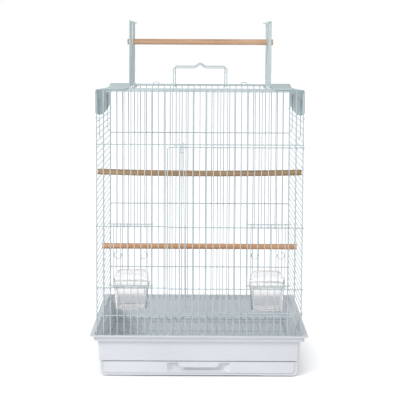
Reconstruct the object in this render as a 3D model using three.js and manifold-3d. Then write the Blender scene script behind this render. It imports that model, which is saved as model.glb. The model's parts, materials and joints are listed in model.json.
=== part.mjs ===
// Play top bird cage: welded wire panels on a moulded base with a slide-out tray.
// Millimetres, +Z up, +X to the right, the front faces -Y.
// The origin is at the centre of the base, on the floor.

import * as THREE from 'three';
import { mergeVertices } from 'three/addons/utils/BufferGeometryUtils.js';
import Module from 'manifold-3d';

const wasm = await Module();
wasm.setup();

// Wire and its spacing
const wireSpacing = 14.4;
const panelGaps = 30;
const gridWire = 2.0;
const railWire = 2.4;
const climbingWire = 1.8;
const stiffWire = 3.2;
const weldBite = 0.3;
const runningGap = 0.4;
const seatGap = 0.3;
// Length of a wire past the centre of the wire it is welded to
const wireTip = 2.4;
const wireSides = 4;
const bendSteps = 6;
const panelHalf = wireSpacing * panelGaps / 2;
// Distance between the centres of two crossing welded wires
const weldStep = (gridWire + railWire) / 2 - weldBite;
// Distance between the centres of a wire and of the curl that turns round it
const curlRadius = gridWire / 2 + runningGap + railWire / 2;

// Heights of the wire body
const roofWireLevel = 606.8;
const frontTopRise = 0.8;
const cornerTopDrop = 5;
const doorHeadLevel = 493.6;
const midRailLevel = 320.7;
const lowRailLevel = 189.8;
const footRailLevel = 130.6;
const doorDrop = 6;
const doorRailDrop = 2;
const doorFootRise = 5.5;
const keeperDip = 2;
const backHeadLevel = 489.9;
const backMidLevel = 317.5;
const backLowLevel = 161.7;

// Places of the wires in the front panel, counted from the left corner wire
const doorwayIndex = 10;
const keeperIndexes = [11, 12];
const feederFirstIndexes = { left: 2, right: 22 };
const feederGaps = 6;
const doorFrameGap = 4.4;

// Side panels
const cornerGap = 6.5;
const climbingSpacing = 13.85;
const climbingOverhang = 2.0;
const upperPerchLevel = 428.5;
const lowerPerchSteps = 13;
const sideUprightShares = [0.48];
const shortUprightShares = [0.19, 0.77];
const shortUprightDrop = 82;
const shortUprightTip = 5;

// Roof, wings and hatches
const openingHalfGaps = 8;
const hatchHingeX = 150;
const hatchReach = 146.5;
const hatchGaps = 15;
const hatchBase = 6.5;
const hatchTip = 6;
const hatchTipPlace = 86.4;
const hatchRingRibs = [2, 8, 15];
const ringTurnDegrees = 250;
const wingClearance = 5;
const wingOverhang = 1.4;
const wingRowShares = [-1, -0.97, -0.8, -0.6, -0.3, 0, 0.3, 0.6, 0.8, 0.97, 1];
const wingRollSteps = 5;
const wingSheet = 1.0;
const wingDrop = 62.5;
const wingEndRise = 12.5;
const wingEndRadius = 7;
const wingRollRadius = 23;

// Carrying handles
const bailHalfGaps = 4;
const bailRise = 45.3;
const bailPeak = 7.6;
const bailPeakHalf = 10.8;
const bailCorner = 5;

// Perches
const perchDiameter = 12.7;
const perchSides = 12;
const perchOverhang = 2.4;
const playPerchOverhang = 10.4;
const perchBevel = 1.2;
const perchSlot = 2.6;
const upperPerchDepth = -134;
const lowerPerchDepth = -17;
const playPerchLevel = 708;
const cradleClearance = 0.4;
const cradleBend = 3;

// Loops on the back edge of the roof
const loopPlace = 106;
const loopHalf = 7.5;
const loopRise = 8;

// Base
const channelRoom = 4;
const channelDraft = 0.5;
const ledgeWall = 3.2;
const rimOverhang = 7.8;
const ledgeStep = 8.8;
const bodyTaper = 2.2;
const skirtSetback = 6;
const channelLevel = 80.6;
const rimRise = 9.8;
const rimThickness = 2.8;
const ledgeDrop = 3;
const bodyTopDrop = 5.6;
const bodyBottom = 33.3;
const bodyWall = 2.8;
const skirtWall = 2.9;
const shelfThickness = 2.5;
const runnerWidth = 70;
const runnerThickness = 1.8;
const rimCorner = 9;
const cornerTaperShare = 0.24;
const cornerSteps = 3;

// Tray
const slideClearance = 0.6;
const trayBackRoom = 8.3;
const trayRimDrop = 2.8;
const trayWall = 2.0;
const trayFrontLap = 4;
const trayFrontProud = 0.2;
const trayFrontThickness = 12;
const trayFrontCorner = 9;
const trayCorner = 10;
const pocketHalf = 68.5;
const pocketSill = 5.6;
const pocketDrop = 2.6;
const pocketDepth = 9;
const pocketDraft = 3;
const lipTopHalf = 47.5;
const lipBottomHalf = 36;
const lipDrop = 12.8;
const lipThickness = 2.2;

// Floor grille
const grilleGaps = 20;
const grilleTieShares = [-0.93, 0.28, 0.93];
const grilleClearance = 1.5;

// Feeder doors
const feederRise = 5.5;
const feederHeadRise = 5.5;
const feederTurnDegrees = 230;
const hookRadius = 7.5;
const hookLevel = 260.8;
const hookPlace = 27;
const hookStartDegrees = 150;
const hookSweepDegrees = 300;

// Door latch
const latchPlace = -34;
const latchIndex = 13;
const latchTopRise = 5;
const latchRodRise = 2;
const latchTurnDrop = 17;
const latchTurn = 6.4;
const latchFootRise = 17.2;
const latchLeadDegrees = 30;
const latchTurnDegrees = 130;
const stiffenedIndex = 12;
const stiffenerPlace = -42;
const braceRise = 33.5;

// Cups
const cupHalf = 38.5;
const cupDepth = 66;
const cupNeckHalf = 35.3;
const cupNeckDepth = 59.6;
const cupBottomHalf = 33;
const cupBottomDepth = 54;
const cupHeight = 49.6;
const cupFlare = 10;
const cupLip = 3.7;
const cupWall = 2.0;
const cupCorner = 9;
const cupCornerSteps = 2;
const tabHalf = 12;
const tabPlace = 26.5;
const tabThickness = 1.6;
const hoodHeight = 31;
const hoodWall = 1.8;
const hoodDepthShares = [0, 0.02, 0.1, 0.28, 0.62];
const hoodHeightShares = [0.1, 0.55, 0.84, 0.97, 1];
const hoodAcrossShares = [[-1, 0], [-0.9, 0.5], [-0.73, 0.95], [-0.44, 1], [0, 1],
  [0.44, 1], [0.73, 0.95], [0.9, 0.5], [1, 0]];

// Clips between the corner wires
const clipRise = 1.4;
const clipWidth = 2.2;
const clipThickness = 1.4;

const overrun = 5;

// The outline of a wire: a regular polygon whose first corner lies at the given angle
function roundOutline(diameter, start) {
  const outline = new THREE.Shape();
  for (let side = 0; side < wireSides; side += 1) {
    const angle = start + 2 * Math.PI * side / wireSides;
    const x = Math.cos(angle) * diameter / 2;
    const y = Math.sin(angle) * diameter / 2;
    if (side === 0) outline.moveTo(x, y);
    else outline.lineTo(x, y);
  }
  outline.closePath();
  return outline;
}

// A straight wire between two points. Its section has a ridge towards the given direction,
// where a crossing wire is welded to it.
function straightWire(from, to, diameter, ridge) {
  const along = new THREE.Vector3().subVectors(to, from);
  const wire = new THREE.ExtrudeGeometry(roundOutline(diameter, 0), {
    depth: along.length(),
    bevelEnabled: false,
  });
  const axis = along.clone().normalize();
  const across = new THREE.Vector3().crossVectors(axis, ridge).normalize();
  const up = new THREE.Vector3().crossVectors(across, axis);
  wire.applyMatrix4(new THREE.Matrix4().makeBasis(up, across, axis));
  wire.translate(from.x, from.y, from.z);
  return wire;
}

// A path that passes through each of its points, for bent wires
class BentPath extends THREE.Curve {
  constructor(points) {
    super();
    this.points = points;
  }

  getPoint(share, target = new THREE.Vector3()) {
    const last = this.points.length - 1;
    const place = share * last;
    const index = Math.min(Math.floor(place), last - 1);
    return target.lerpVectors(this.points[index], this.points[index + 1], place - index);
  }

  getPointAt(share, target) {
    return this.getPoint(share, target);
  }

  getTangentAt(share, target = new THREE.Vector3()) {
    const last = this.points.length - 1;
    const index = Math.round(share * last);
    const here = this.points[index];
    target.set(0, 0, 0);
    if (index > 0) target.add(here.clone().sub(this.points[index - 1]).normalize());
    if (index < last) target.add(this.points[index + 1].clone().sub(here).normalize());
    return target.normalize();
  }
}

// A wire bent through a list of points, with a ridge of its section towards the given
// direction where the wire is square to it
function bentWire(points, diameter, ridge) {
  const path = new BentPath(points);
  const steps = points.length - 1;
  const frames = path.computeFrenetFrames(steps, false);
  const slants = frames.tangents.map((tangent) => Math.abs(tangent.dot(ridge)));
  const square = slants.indexOf(Math.min(...slants));
  const angle = Math.atan2(ridge.dot(frames.binormals[square]), ridge.dot(frames.normals[square]));
  return new THREE.ExtrudeGeometry(roundOutline(diameter, angle), {
    steps,
    bevelEnabled: false,
    extrudePath: path,
  });
}

// Points along an arc; across and up are the unit directions of angles 0 and 90 degrees
function arcPoints(centre, across, up, radius, startDegrees, endDegrees, steps) {
  const points = [];
  for (let step = 0; step <= steps; step += 1) {
    const angle = THREE.MathUtils.degToRad(
      THREE.MathUtils.lerp(startDegrees, endDegrees, step / steps),
    );
    points.push(centre.clone()
      .addScaledVector(across, Math.cos(angle) * radius)
      .addScaledVector(up, Math.sin(angle) * radius));
  }
  return points;
}

const point = (x, y, z) => new THREE.Vector3(x, y, z);
const alongX = point(1, 0, 0);
const alongY = point(0, 1, 0);
const alongZ = point(0, 0, 1);

// A box between two corners
function block(low, high) {
  const size = new THREE.Vector3().subVectors(high, low);
  const solid = new THREE.BoxGeometry(size.x, size.y, size.z);
  solid.translate((low.x + high.x) / 2, (low.y + high.y) / 2, (low.z + high.z) / 2);
  return solid;
}

function bare(geometry) {
  const plain = geometry.index ? geometry.toNonIndexed() : geometry.clone();
  plain.deleteAttribute('normal');
  plain.deleteAttribute('uv');
  return plain;
}

function solid(geometry) {
  const merged = mergeVertices(bare(geometry));
  return new wasm.Manifold(new wasm.Mesh({
    numProp: 3,
    vertProperties: new Float32Array(merged.attributes.position.array),
    triVerts: new Uint32Array(merged.index.array),
  }));
}

function fromSolid(manifold) {
  const mesh = manifold.getMesh();
  const geometry = new THREE.BufferGeometry();
  geometry.setAttribute('position', new THREE.BufferAttribute(mesh.vertProperties, 3));
  geometry.setIndex(new THREE.BufferAttribute(mesh.triVerts, 1));
  return bare(geometry);
}

// Wires welded where they cross
function weld(wires) {
  return fromSolid(wires.map(solid).reduce((whole, wire) => whole.add(wire)));
}

// A solid skinned over rings of equally many points. Closed rings of rings make a frame;
// otherwise the first and last ring are capped.
function loft(rings, closed) {
  const count = rings[0].length;
  const positions = [];
  const add = (a, b, c) => positions.push(...a.toArray(), ...b.toArray(), ...c.toArray());
  const spans = closed ? rings.length : rings.length - 1;
  for (let ring = 0; ring < spans; ring += 1) {
    const low = rings[ring];
    const high = rings[(ring + 1) % rings.length];
    for (let index = 0; index < count; index += 1) {
      const next = (index + 1) % count;
      add(low[index], low[next], high[next]);
      add(low[index], high[next], high[index]);
    }
  }
  if (!closed) {
    const first = rings[0];
    const last = rings[rings.length - 1];
    for (let index = 1; index < count - 1; index += 1) {
      add(first[0], first[index + 1], first[index]);
      add(last[0], last[index], last[index + 1]);
    }
  }
  const geometry = new THREE.BufferGeometry();
  geometry.setAttribute('position', new THREE.Float32BufferAttribute(positions, 3));
  return geometry;
}

// A bent sheet between two grids of points of the same size, the outer and the inner face
function sheet(outer, inner) {
  const positions = [];
  const add = (a, b, c) => positions.push(...a.toArray(), ...b.toArray(), ...c.toArray());
  const quad = (a, b, c, d) => {
    add(a, b, c);
    add(a, c, d);
  };
  const rows = outer.length - 1;
  const columns = outer[0].length - 1;
  for (let row = 0; row < rows; row += 1) {
    for (let column = 0; column < columns; column += 1) {
      quad(outer[row][column], outer[row][column + 1],
        outer[row + 1][column + 1], outer[row + 1][column]);
      quad(inner[row][column], inner[row + 1][column],
        inner[row + 1][column + 1], inner[row][column + 1]);
    }
    quad(outer[row][0], outer[row + 1][0], inner[row + 1][0], inner[row][0]);
    quad(outer[row + 1][columns], outer[row][columns], inner[row][columns], inner[row + 1][columns]);
  }
  for (let column = 0; column < columns; column += 1) {
    quad(outer[0][column + 1], outer[0][column], inner[0][column], inner[0][column + 1]);
    quad(outer[rows][column], outer[rows][column + 1], inner[rows][column + 1], inner[rows][column]);
  }
  const geometry = new THREE.BufferGeometry();
  geometry.setAttribute('position', new THREE.Float32BufferAttribute(positions, 3));
  return geometry;
}

// A rounded rectangle of points at one height, anticlockwise seen from above
function roundedLoop(halfX, halfY, radius, z, centreX = 0, centreY = 0, steps = cornerSteps) {
  const loop = [];
  const corners = [[1, 1, 0], [-1, 1, 90], [-1, -1, 180], [1, -1, 270]];
  for (const [signX, signY, start] of corners) {
    const centre = point(centreX + signX * (halfX - radius), centreY + signY * (halfY - radius), z);
    loop.push(...arcPoints(centre, alongX, alongY, radius, start, start + 90, steps));
  }
  return loop;
}

const wireX = (index) => index * wireSpacing - panelHalf;
const frontY = -panelHalf;
const railY = frontY + weldStep;
const doorRailY = frontY + curlRadius;
const doorWireY = doorRailY - weldStep;
const lastWire = panelGaps;
const doorAxisX = wireX(lastWire);
const doorFrameX = wireX(doorwayIndex) + doorFrameGap;
const openingHalf = openingHalfGaps * wireSpacing;

// The steps of the base, outwards and inwards from the channel that the wires stand in
const channelOuter = panelHalf + channelRoom;
const channelInner = panelHalf - channelRoom;
const ledgeHalf = channelOuter + ledgeWall;
const rimHalf = ledgeHalf + rimOverhang;
const bodyTopHalf = ledgeHalf - ledgeStep;
const bodyBottomHalf = bodyTopHalf - bodyTaper;
const skirtHalf = bodyBottomHalf - skirtSetback;
const rimTop = channelLevel + rimRise;
const wireFoot = channelLevel + seatGap;
const wireTop = roofWireLevel + frontTopRise;
const cornerTop = roofWireLevel - cornerTopDrop;

// A curl of wire round an upright, at one height: it leaves a rail in front of the upright
// or behind it and turns on round it
function curlRoundUpright(x, y, z, railSide, turnSign, degrees) {
  const start = railSide * 90;
  return arcPoints(point(x, y, z), alongX, alongY, curlRadius,
    start, start + turnSign * degrees, bendSteps);
}

// Front panel

function isFeederWire(index, side) {
  const first = feederFirstIndexes[side];
  return index > first && index < first + feederGaps;
}

function frontPanel() {
  const wires = [];
  const upright = (index, low, high) => wires.push(straightWire(
    point(wireX(index), frontY, low),
    point(wireX(index), frontY, high),
    gridWire,
    alongY,
  ));
  for (let index = 0; index <= lastWire; index += 1) {
    if (index > doorwayIndex && index < lastWire) {
      upright(index, wireFoot, footRailLevel + wireTip);
      if (!keeperIndexes.includes(index)) upright(index, doorHeadLevel - wireTip, wireTop);
    } else if (isFeederWire(index, 'left')) {
      upright(index, wireFoot, lowRailLevel + wireTip);
      upright(index, midRailLevel - wireTip, wireTop);
    } else {
      upright(index, wireFoot, index === 0 || index === lastWire ? cornerTop : wireTop);
    }
  }
  wires.push(keeperLoop());
  const rail = (z, to) => wires.push(straightWire(
    point(-panelHalf - wireTip, railY, z),
    point(to + wireTip, railY, z),
    railWire,
    alongY,
  ));
  rail(doorHeadLevel, panelHalf);
  rail(footRailLevel, panelHalf);
  rail(midRailLevel, wireX(doorwayIndex));
  rail(lowRailLevel, wireX(doorwayIndex));
  return weld(wires);
}

// The two wires over the latch are one wire, bent into a loop that dips below the door head
function keeperLoop() {
  const [first, second] = keeperIndexes;
  const radius = (wireX(second) - wireX(first)) / 2;
  const middle = (wireX(first) + wireX(second)) / 2;
  const turnLevel = doorHeadLevel - keeperDip + radius;
  return bentWire([
    point(wireX(first), frontY, wireTop),
    ...arcPoints(point(middle, frontY, turnLevel), alongX, alongZ, radius, 180, 360, bendSteps),
    point(wireX(second), frontY, wireTop),
  ], gridWire, alongY);
}

// Back panel

function backPanel() {
  const wires = [];
  for (let index = 0; index <= lastWire; index += 1) {
    wires.push(straightWire(
      point(wireX(index), panelHalf, wireFoot),
      point(wireX(index), panelHalf, index === 0 || index === lastWire ? cornerTop : wireTop),
      gridWire,
      alongY,
    ));
  }
  for (const level of [backHeadLevel, backMidLevel, backLowLevel]) {
    wires.push(straightWire(
      point(-panelHalf - wireTip, panelHalf - weldStep, level),
      point(panelHalf + wireTip, panelHalf - weldStep, level),
      railWire,
      alongY,
    ));
  }
  return weld(wires);
}

// Side panels

const sideHalf = panelHalf - cornerGap;
const climbingX = panelHalf + (gridWire + climbingWire) / 2 - weldBite;
const wingTop = roofWireLevel + gridWire / 2 + seatGap + wingSheet;
const wingFlapFoot = wingTop - wingDrop;
const wingOuter = panelHalf + gridWire / 2 + seatGap + wingSheet;
const hingeRodLevel = roofWireLevel - weldStep;

function climbingLevels() {
  const levels = [];
  const below = Math.floor((upperPerchLevel - climbingWire - rimTop) / climbingSpacing);
  const above = Math.floor((wingFlapFoot - climbingWire - upperPerchLevel) / climbingSpacing);
  for (let step = -below; step <= above; step += 1) {
    levels.push(upperPerchLevel + step * climbingSpacing);
  }
  return levels;
}

function sidePanel(side) {
  const wires = [];
  const x = side * panelHalf;
  const placeY = (share) => THREE.MathUtils.lerp(-panelHalf, panelHalf, share);
  const innerTop = wingTop - wingRollRadius;
  const upright = (y, top) => wires.push(straightWire(
    point(x, y, wireFoot),
    point(x, y, top),
    gridWire,
    alongX,
  ));
  for (const y of [-sideHalf, sideHalf]) upright(y, cornerTop);
  for (const y of sideUprightShares.map(placeY)) upright(y, innerTop);
  for (const y of shortUprightShares.map(placeY)) {
    const foot = innerTop - shortUprightDrop;
    wires.push(bentWire([
      point(x, y, innerTop),
      point(x, y, foot),
      point(x - side * shortUprightTip, y, foot - shortUprightTip),
    ], gridWire, alongX));
  }
  const end = sideHalf + climbingOverhang;
  for (const level of climbingLevels()) {
    wires.push(straightWire(
      point(side * climbingX, -end, level),
      point(side * climbingX, end, level),
      climbingWire,
      alongX,
    ));
  }
  return weld(wires);
}

// The outline of a flat clip round the corner wires of two panels
function clipOutline(grow) {
  const outline = new THREE.Shape();
  const x = gridWire / 2 + runningGap + grow;
  const y = x + (panelHalf - sideHalf) / 2;
  const cut = x / 2;
  outline.moveTo(x, -y + cut);
  outline.lineTo(x, y - cut);
  outline.lineTo(x - cut, y);
  outline.lineTo(-x + cut, y);
  outline.lineTo(-x, y - cut);
  outline.lineTo(-x, -y + cut);
  outline.lineTo(-x + cut, -y);
  outline.lineTo(x - cut, -y);
  outline.closePath();
  return outline;
}

function cornerClip(signX, signY) {
  const outline = clipOutline(clipThickness);
  outline.holes.push(clipOutline(0));
  const clip = new THREE.ExtrudeGeometry(outline, { depth: clipWidth, bevelEnabled: false });
  clip.translate(signX * panelHalf, signY * (panelHalf + sideHalf) / 2, wingFlapFoot + clipRise);
  return clip;
}

// Roof

// Place of the roof wire that lies inside the tops of the front or back panel's wires
const roofEndY = panelHalf - gridWire - seatGap;

function roofFrame() {
  const wires = [];
  const roofEndX = wingOuter - wingRollRadius;
  const stripGaps = panelGaps / 2 - openingHalfGaps;
  for (const signY of [-1, 1]) {
    for (let step = 0; step <= stripGaps; step += 1) {
      const y = signY * (step === stripGaps ? roofEndY : openingHalf + step * wireSpacing);
      wires.push(straightWire(
        point(-roofEndX, y, roofWireLevel),
        point(roofEndX, y, roofWireLevel),
        gridWire,
        alongZ,
      ));
    }
    wires.push(straightWire(
      point(0, signY * (openingHalf - wireTip), hingeRodLevel),
      point(0, signY * roofEndY, hingeRodLevel),
      railWire,
      alongZ,
    ));
  }
  for (const signX of [-1, 1]) {
    wires.push(straightWire(
      point(signX * hatchHingeX, -roofEndY, hingeRodLevel),
      point(signX * hatchHingeX, roofEndY, hingeRodLevel),
      railWire,
      alongZ,
    ));
    wires.push(roofLoop(signX));
  }
  return weld(wires);
}

// A small loop that stands on the roof's back wire
function roofLoop(signX) {
  const x = signX * loopPlace;
  const foot = roofWireLevel + seatGap;
  return bentWire([
    point(x - loopHalf, roofEndY, foot),
    ...arcPoints(point(x, roofEndY, foot + gridWire), alongX,
      alongZ.clone().multiplyScalar(loopRise / loopHalf), loopHalf, 180, 0, bendSteps),
    point(x + loopHalf, roofEndY, foot),
  ], gridWire, alongY);
}

// Sheet cap of one side of the roof: a flat top rolled down into a flap. Towards the middle
// the roll is wider and the flap hangs lower.
function wing(side) {
  const wingHalf = panelHalf + wingOverhang;
  const outer = [];
  const inner = [];
  for (const share of wingRowShares) {
    const y = share * wingHalf;
    const bow = share ** 2;
    const radius = THREE.MathUtils.lerp(wingRollRadius, wingEndRadius, bow);
    const centre = point(wingOuter - radius, y, wingTop - radius);
    for (const [grid, inset] of [[outer, 0], [inner, wingSheet]]) {
      const row = [
        point(hatchHingeX + wingClearance, y, wingTop - inset),
        ...arcPoints(centre, alongX, alongZ, radius - inset, 90, 0, wingRollSteps),
        point(wingOuter - inset, y, wingFlapFoot + wingEndRise * bow),
      ];
      for (const place of row) place.x *= side;
      grid.push(side > 0 ? row : row.reverse());
    }
  }
  return sheet(outer, inner);
}

// Roof hatches, modelled standing open

const hatchHalf = hatchGaps * wireSpacing / 2;
const cradleRadius = perchDiameter / 2 + cradleClearance + railWire / 2;

function hatch(side) {
  const wires = [];
  const rodX = side * hatchHingeX;
  const ribX = rodX + side * curlRadius;
  const barX = ribX - side * weldStep;
  const top = hingeRodLevel + hatchReach;
  const base = hingeRodLevel + hatchBase;
  const outwards = alongX.clone().multiplyScalar(side);
  for (let index = 0; index <= hatchGaps; index += 1) {
    const y = index * wireSpacing - hatchHalf;
    const ribTop = Math.abs(y) < cradleRadius ? playPerchLevel - cradleRadius / 3 : top + wireTip;
    if (hatchRingRibs.includes(index)) {
      wires.push(bentWire([
        point(ribX, y, ribTop),
        ...arcPoints(point(rodX, y, hingeRodLevel), outwards, alongZ, curlRadius,
          0, -ringTurnDegrees, bendSteps),
      ], gridWire, alongX));
    } else {
      wires.push(straightWire(
        point(ribX, y, base - wireTip),
        point(ribX, y, ribTop),
        gridWire,
        alongX,
      ));
    }
  }
  const barEnd = hatchHalf + wireTip;
  wires.push(straightWire(
    point(barX, -barEnd, base),
    point(barX, barEnd, base),
    railWire,
    alongX,
  ));
  wires.push(bentWire([
    point(barX, -barEnd, top),
    point(barX, -cradleRadius - cradleBend, top),
    point(barX, -cradleRadius, top - cradleBend),
    ...arcPoints(point(barX, 0, playPerchLevel), alongY, alongZ, cradleRadius, 180, 360, bendSteps),
    point(barX, cradleRadius, top - cradleBend),
    point(barX, cradleRadius + cradleBend, top),
    point(barX, barEnd, top),
  ], railWire, alongX));
  for (const signY of [-1, 1]) {
    wires.push(straightWire(
      point(barX, signY * hatchTipPlace, top),
      point(barX - side * hatchTip, signY * hatchTipPlace, top),
      gridWire,
      alongZ,
    ));
  }
  return weld(wires);
}

// A carrying handle: a bail with a small peak, hinged on the wire beside the roof opening
function bail(signY) {
  const halfSpan = bailHalfGaps * wireSpacing;
  const axisY = signY * openingHalf;
  const legY = axisY - signY * curlRadius;
  const top = roofWireLevel + bailRise;
  const inward = point(0, -signY, 0);
  const foot = (signX) => arcPoints(point(signX * halfSpan, axisY, roofWireLevel), inward, alongZ,
    curlRadius, -ringTurnDegrees, 0, bendSteps);
  const corner = (signX) => [
    point(signX * halfSpan, legY, top - bailCorner),
    point(signX * (halfSpan - bailCorner), legY, top),
  ];
  return bentWire([
    ...foot(-1),
    ...corner(-1),
    point(-bailPeakHalf, legY, top),
    point(-bailPeakHalf / 2, legY, top + bailPeak / 2),
    point(0, legY, top + bailPeak),
    point(bailPeakHalf / 2, legY, top + bailPeak / 2),
    point(bailPeakHalf, legY, top),
    ...corner(1).reverse(),
    ...foot(1).reverse(),
  ], railWire, alongX);
}

// Perches

function perch(length) {
  const radius = perchDiameter / 2;
  const profile = [
    new THREE.Vector2(0, -length / 2),
    new THREE.Vector2(radius - perchBevel, -length / 2),
    new THREE.Vector2(radius, -length / 2 + perchBevel),
    new THREE.Vector2(radius, length / 2 - perchBevel),
    new THREE.Vector2(radius - perchBevel, length / 2),
    new THREE.Vector2(0, length / 2),
  ];
  const dowel = new THREE.LatheGeometry(profile, perchSides);
  dowel.rotateZ(-Math.PI / 2);
  return dowel;
}

// A perch whose ends are sawn to straddle a side wire
function notchedPerch(y, z) {
  const perchLength = (climbingX + perchOverhang) * 2;
  let dowel = solid(perch(perchLength));
  const slotFloor = climbingX - climbingWire / 2 - seatGap;
  for (const signX of [-1, 1]) {
    const near = signX * slotFloor;
    const far = signX * (perchLength / 2 + overrun);
    dowel = dowel.subtract(solid(block(
      point(Math.min(near, far), -perchDiameter, -perchSlot / 2),
      point(Math.max(near, far), perchDiameter, perchSlot / 2),
    )));
  }
  return fromSolid(dowel).translate(0, y, z);
}

function playPerch() {
  const playPerchLength = (hatchHingeX + curlRadius + playPerchOverhang) * 2;
  return bare(perch(playPerchLength)).translate(0, 0, playPerchLevel);
}

// Base

function cornerAt(half) {
  return rimCorner - (rimHalf - half) * cornerTaperShare;
}

const shelfLevel = bodyBottom + shelfThickness;

function baseHousing() {
  const profile = [
    [skirtHalf, 0],
    [skirtHalf, bodyBottom],
    [bodyBottomHalf, bodyBottom],
    [bodyTopHalf, channelLevel - bodyTopDrop],
    [ledgeHalf, channelLevel - ledgeDrop],
    [ledgeHalf, rimTop - rimThickness],
    [rimHalf, rimTop - rimThickness],
    [rimHalf, rimTop],
    [channelOuter + channelDraft, rimTop],
    [channelOuter, channelLevel],
    [channelInner, channelLevel],
    [bodyTopHalf - bodyWall, channelLevel - bodyTopDrop],
    [bodyBottomHalf - bodyWall, shelfLevel],
    [skirtHalf - skirtWall, shelfLevel],
    [skirtHalf - skirtWall, 0],
  ];
  const rings = profile.map(([half, z]) => roundedLoop(half, half, cornerAt(half), z));
  let housing = solid(loft(rings, true));
  const inside = skirtHalf - skirtWall;
  housing = housing.subtract(solid(block(
    point(-inside, -bodyTopHalf, -overrun),
    point(inside, -inside + rimCorner, bodyBottom),
  )));
  for (const signX of [-1, 1]) {
    const outer = signX * (skirtHalf - skirtWall / 2);
    const inner = outer - signX * runnerWidth;
    housing = housing.add(solid(block(
      point(Math.min(inner, outer), -skirtHalf, 0),
      point(Math.max(inner, outer), skirtHalf - skirtWall / 2, runnerThickness),
    )));
  }
  return fromSolid(housing);
}

// Tray

const trayHalf = skirtHalf - skirtWall - slideClearance;
const trayFloor = runnerThickness + slideClearance;
const trayTop = bodyBottom - slideClearance * 2;
const trayFrontFace = bodyBottomHalf + trayFrontProud;
const trayFrontBack = trayFrontFace - trayFrontThickness;

function slideOutTray() {
  const trayBack = skirtHalf - skirtWall - trayBackRoom;
  const trayRim = trayTop - trayRimDrop;
  const middleY = (trayBack - trayFrontBack) / 2;
  const halfY = (trayBack + trayFrontBack) / 2;
  const loop = (inset, z) => roundedLoop(trayHalf - inset, halfY - inset, trayCorner - inset, z,
    0, middleY);
  const pan = solid(loft([
    loop(trayWall, trayFloor),
    loop(0, trayFloor + trayWall),
    loop(0, trayRim),
    loop(trayWall, trayRim),
    loop(trayWall, trayFloor + trayWall * 2),
    loop(trayWall * 2, trayFloor + trayWall),
  ], false));
  return fromSolid(pan.add(trayFront()));
}

function trayFront() {
  const trayFrontHalf = skirtHalf + trayFrontLap;
  const pocketTop = trayTop - pocketDrop;
  const outline = new THREE.Shape();
  outline.moveTo(-trayFrontHalf, trayTop);
  outline.lineTo(-trayFrontHalf, trayFloor + trayFrontCorner);
  outline.absarc(-trayFrontHalf + trayFrontCorner, trayFloor + trayFrontCorner, trayFrontCorner,
    Math.PI, Math.PI * 1.5, false);
  outline.absarc(trayFrontHalf - trayFrontCorner, trayFloor + trayFrontCorner, trayFrontCorner,
    -Math.PI / 2, 0, false);
  outline.lineTo(trayFrontHalf, trayTop);
  outline.closePath();
  const plate = standUp(outline, trayFrontThickness, trayFrontFace, cornerSteps);
  const skirtSide = skirtHalf - skirtWall;
  let front = solid(plate);
  for (const signX of [-1, 1]) {
    const near = signX * (skirtSide - slideClearance);
    const far = signX * (trayFrontHalf + overrun);
    front = front.subtract(solid(block(
      point(Math.min(near, far), -skirtHalf - slideClearance, -overrun),
      point(Math.max(near, far), -trayFrontBack + overrun, trayTop + overrun),
    )));
  }
  front = front.subtract(solid(standUp(trapezium(pocketHalf - pocketDraft, pocketHalf,
    trayFloor + pocketSill, pocketTop), pocketDepth + overrun, trayFrontFace + overrun)));
  return front.add(solid(standUp(trapezium(lipBottomHalf, lipTopHalf, trayTop - lipDrop,
    (pocketTop + trayTop) / 2), lipThickness, trayFrontFace)));
}

function trapezium(lowHalf, highHalf, low, high) {
  const outline = new THREE.Shape();
  outline.moveTo(-lowHalf, low);
  outline.lineTo(lowHalf, low);
  outline.lineTo(highHalf, high);
  outline.lineTo(-highHalf, high);
  outline.closePath();
  return outline;
}

// An outline drawn in X and Z, thickened backwards from a face at Y = -face
function standUp(outline, thickness, face, curveSegments = cornerSteps) {
  const plate = new THREE.ExtrudeGeometry(outline, {
    depth: thickness,
    bevelEnabled: false,
    curveSegments,
  });
  plate.rotateX(Math.PI / 2);
  plate.translate(0, -face + thickness, 0);
  return plate;
}

// Floor grille

function floorGrille() {
  const wires = [];
  const half = bodyBottomHalf - bodyWall - grilleClearance;
  const level = shelfLevel + seatGap + railWire / 2;
  const last = half - wireSpacing / 2;
  for (let index = 0; index <= grilleGaps; index += 1) {
    const x = THREE.MathUtils.lerp(-last, last, index / grilleGaps);
    wires.push(straightWire(
      point(x, -half, level + weldStep),
      point(x, half, level + weldStep),
      gridWire,
      alongZ,
    ));
  }
  for (const share of grilleTieShares) {
    wires.push(straightWire(
      point(-half, share * half, level),
      point(half, share * half, level),
      railWire,
      alongZ,
    ));
  }
  return weld(wires);
}

// Main door

const doorTop = doorHeadLevel - doorDrop;
const doorFoot = footRailLevel + doorFootRise;
const doorMid = midRailLevel - doorRailDrop;
const doorLow = lowRailLevel - doorRailDrop;

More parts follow.
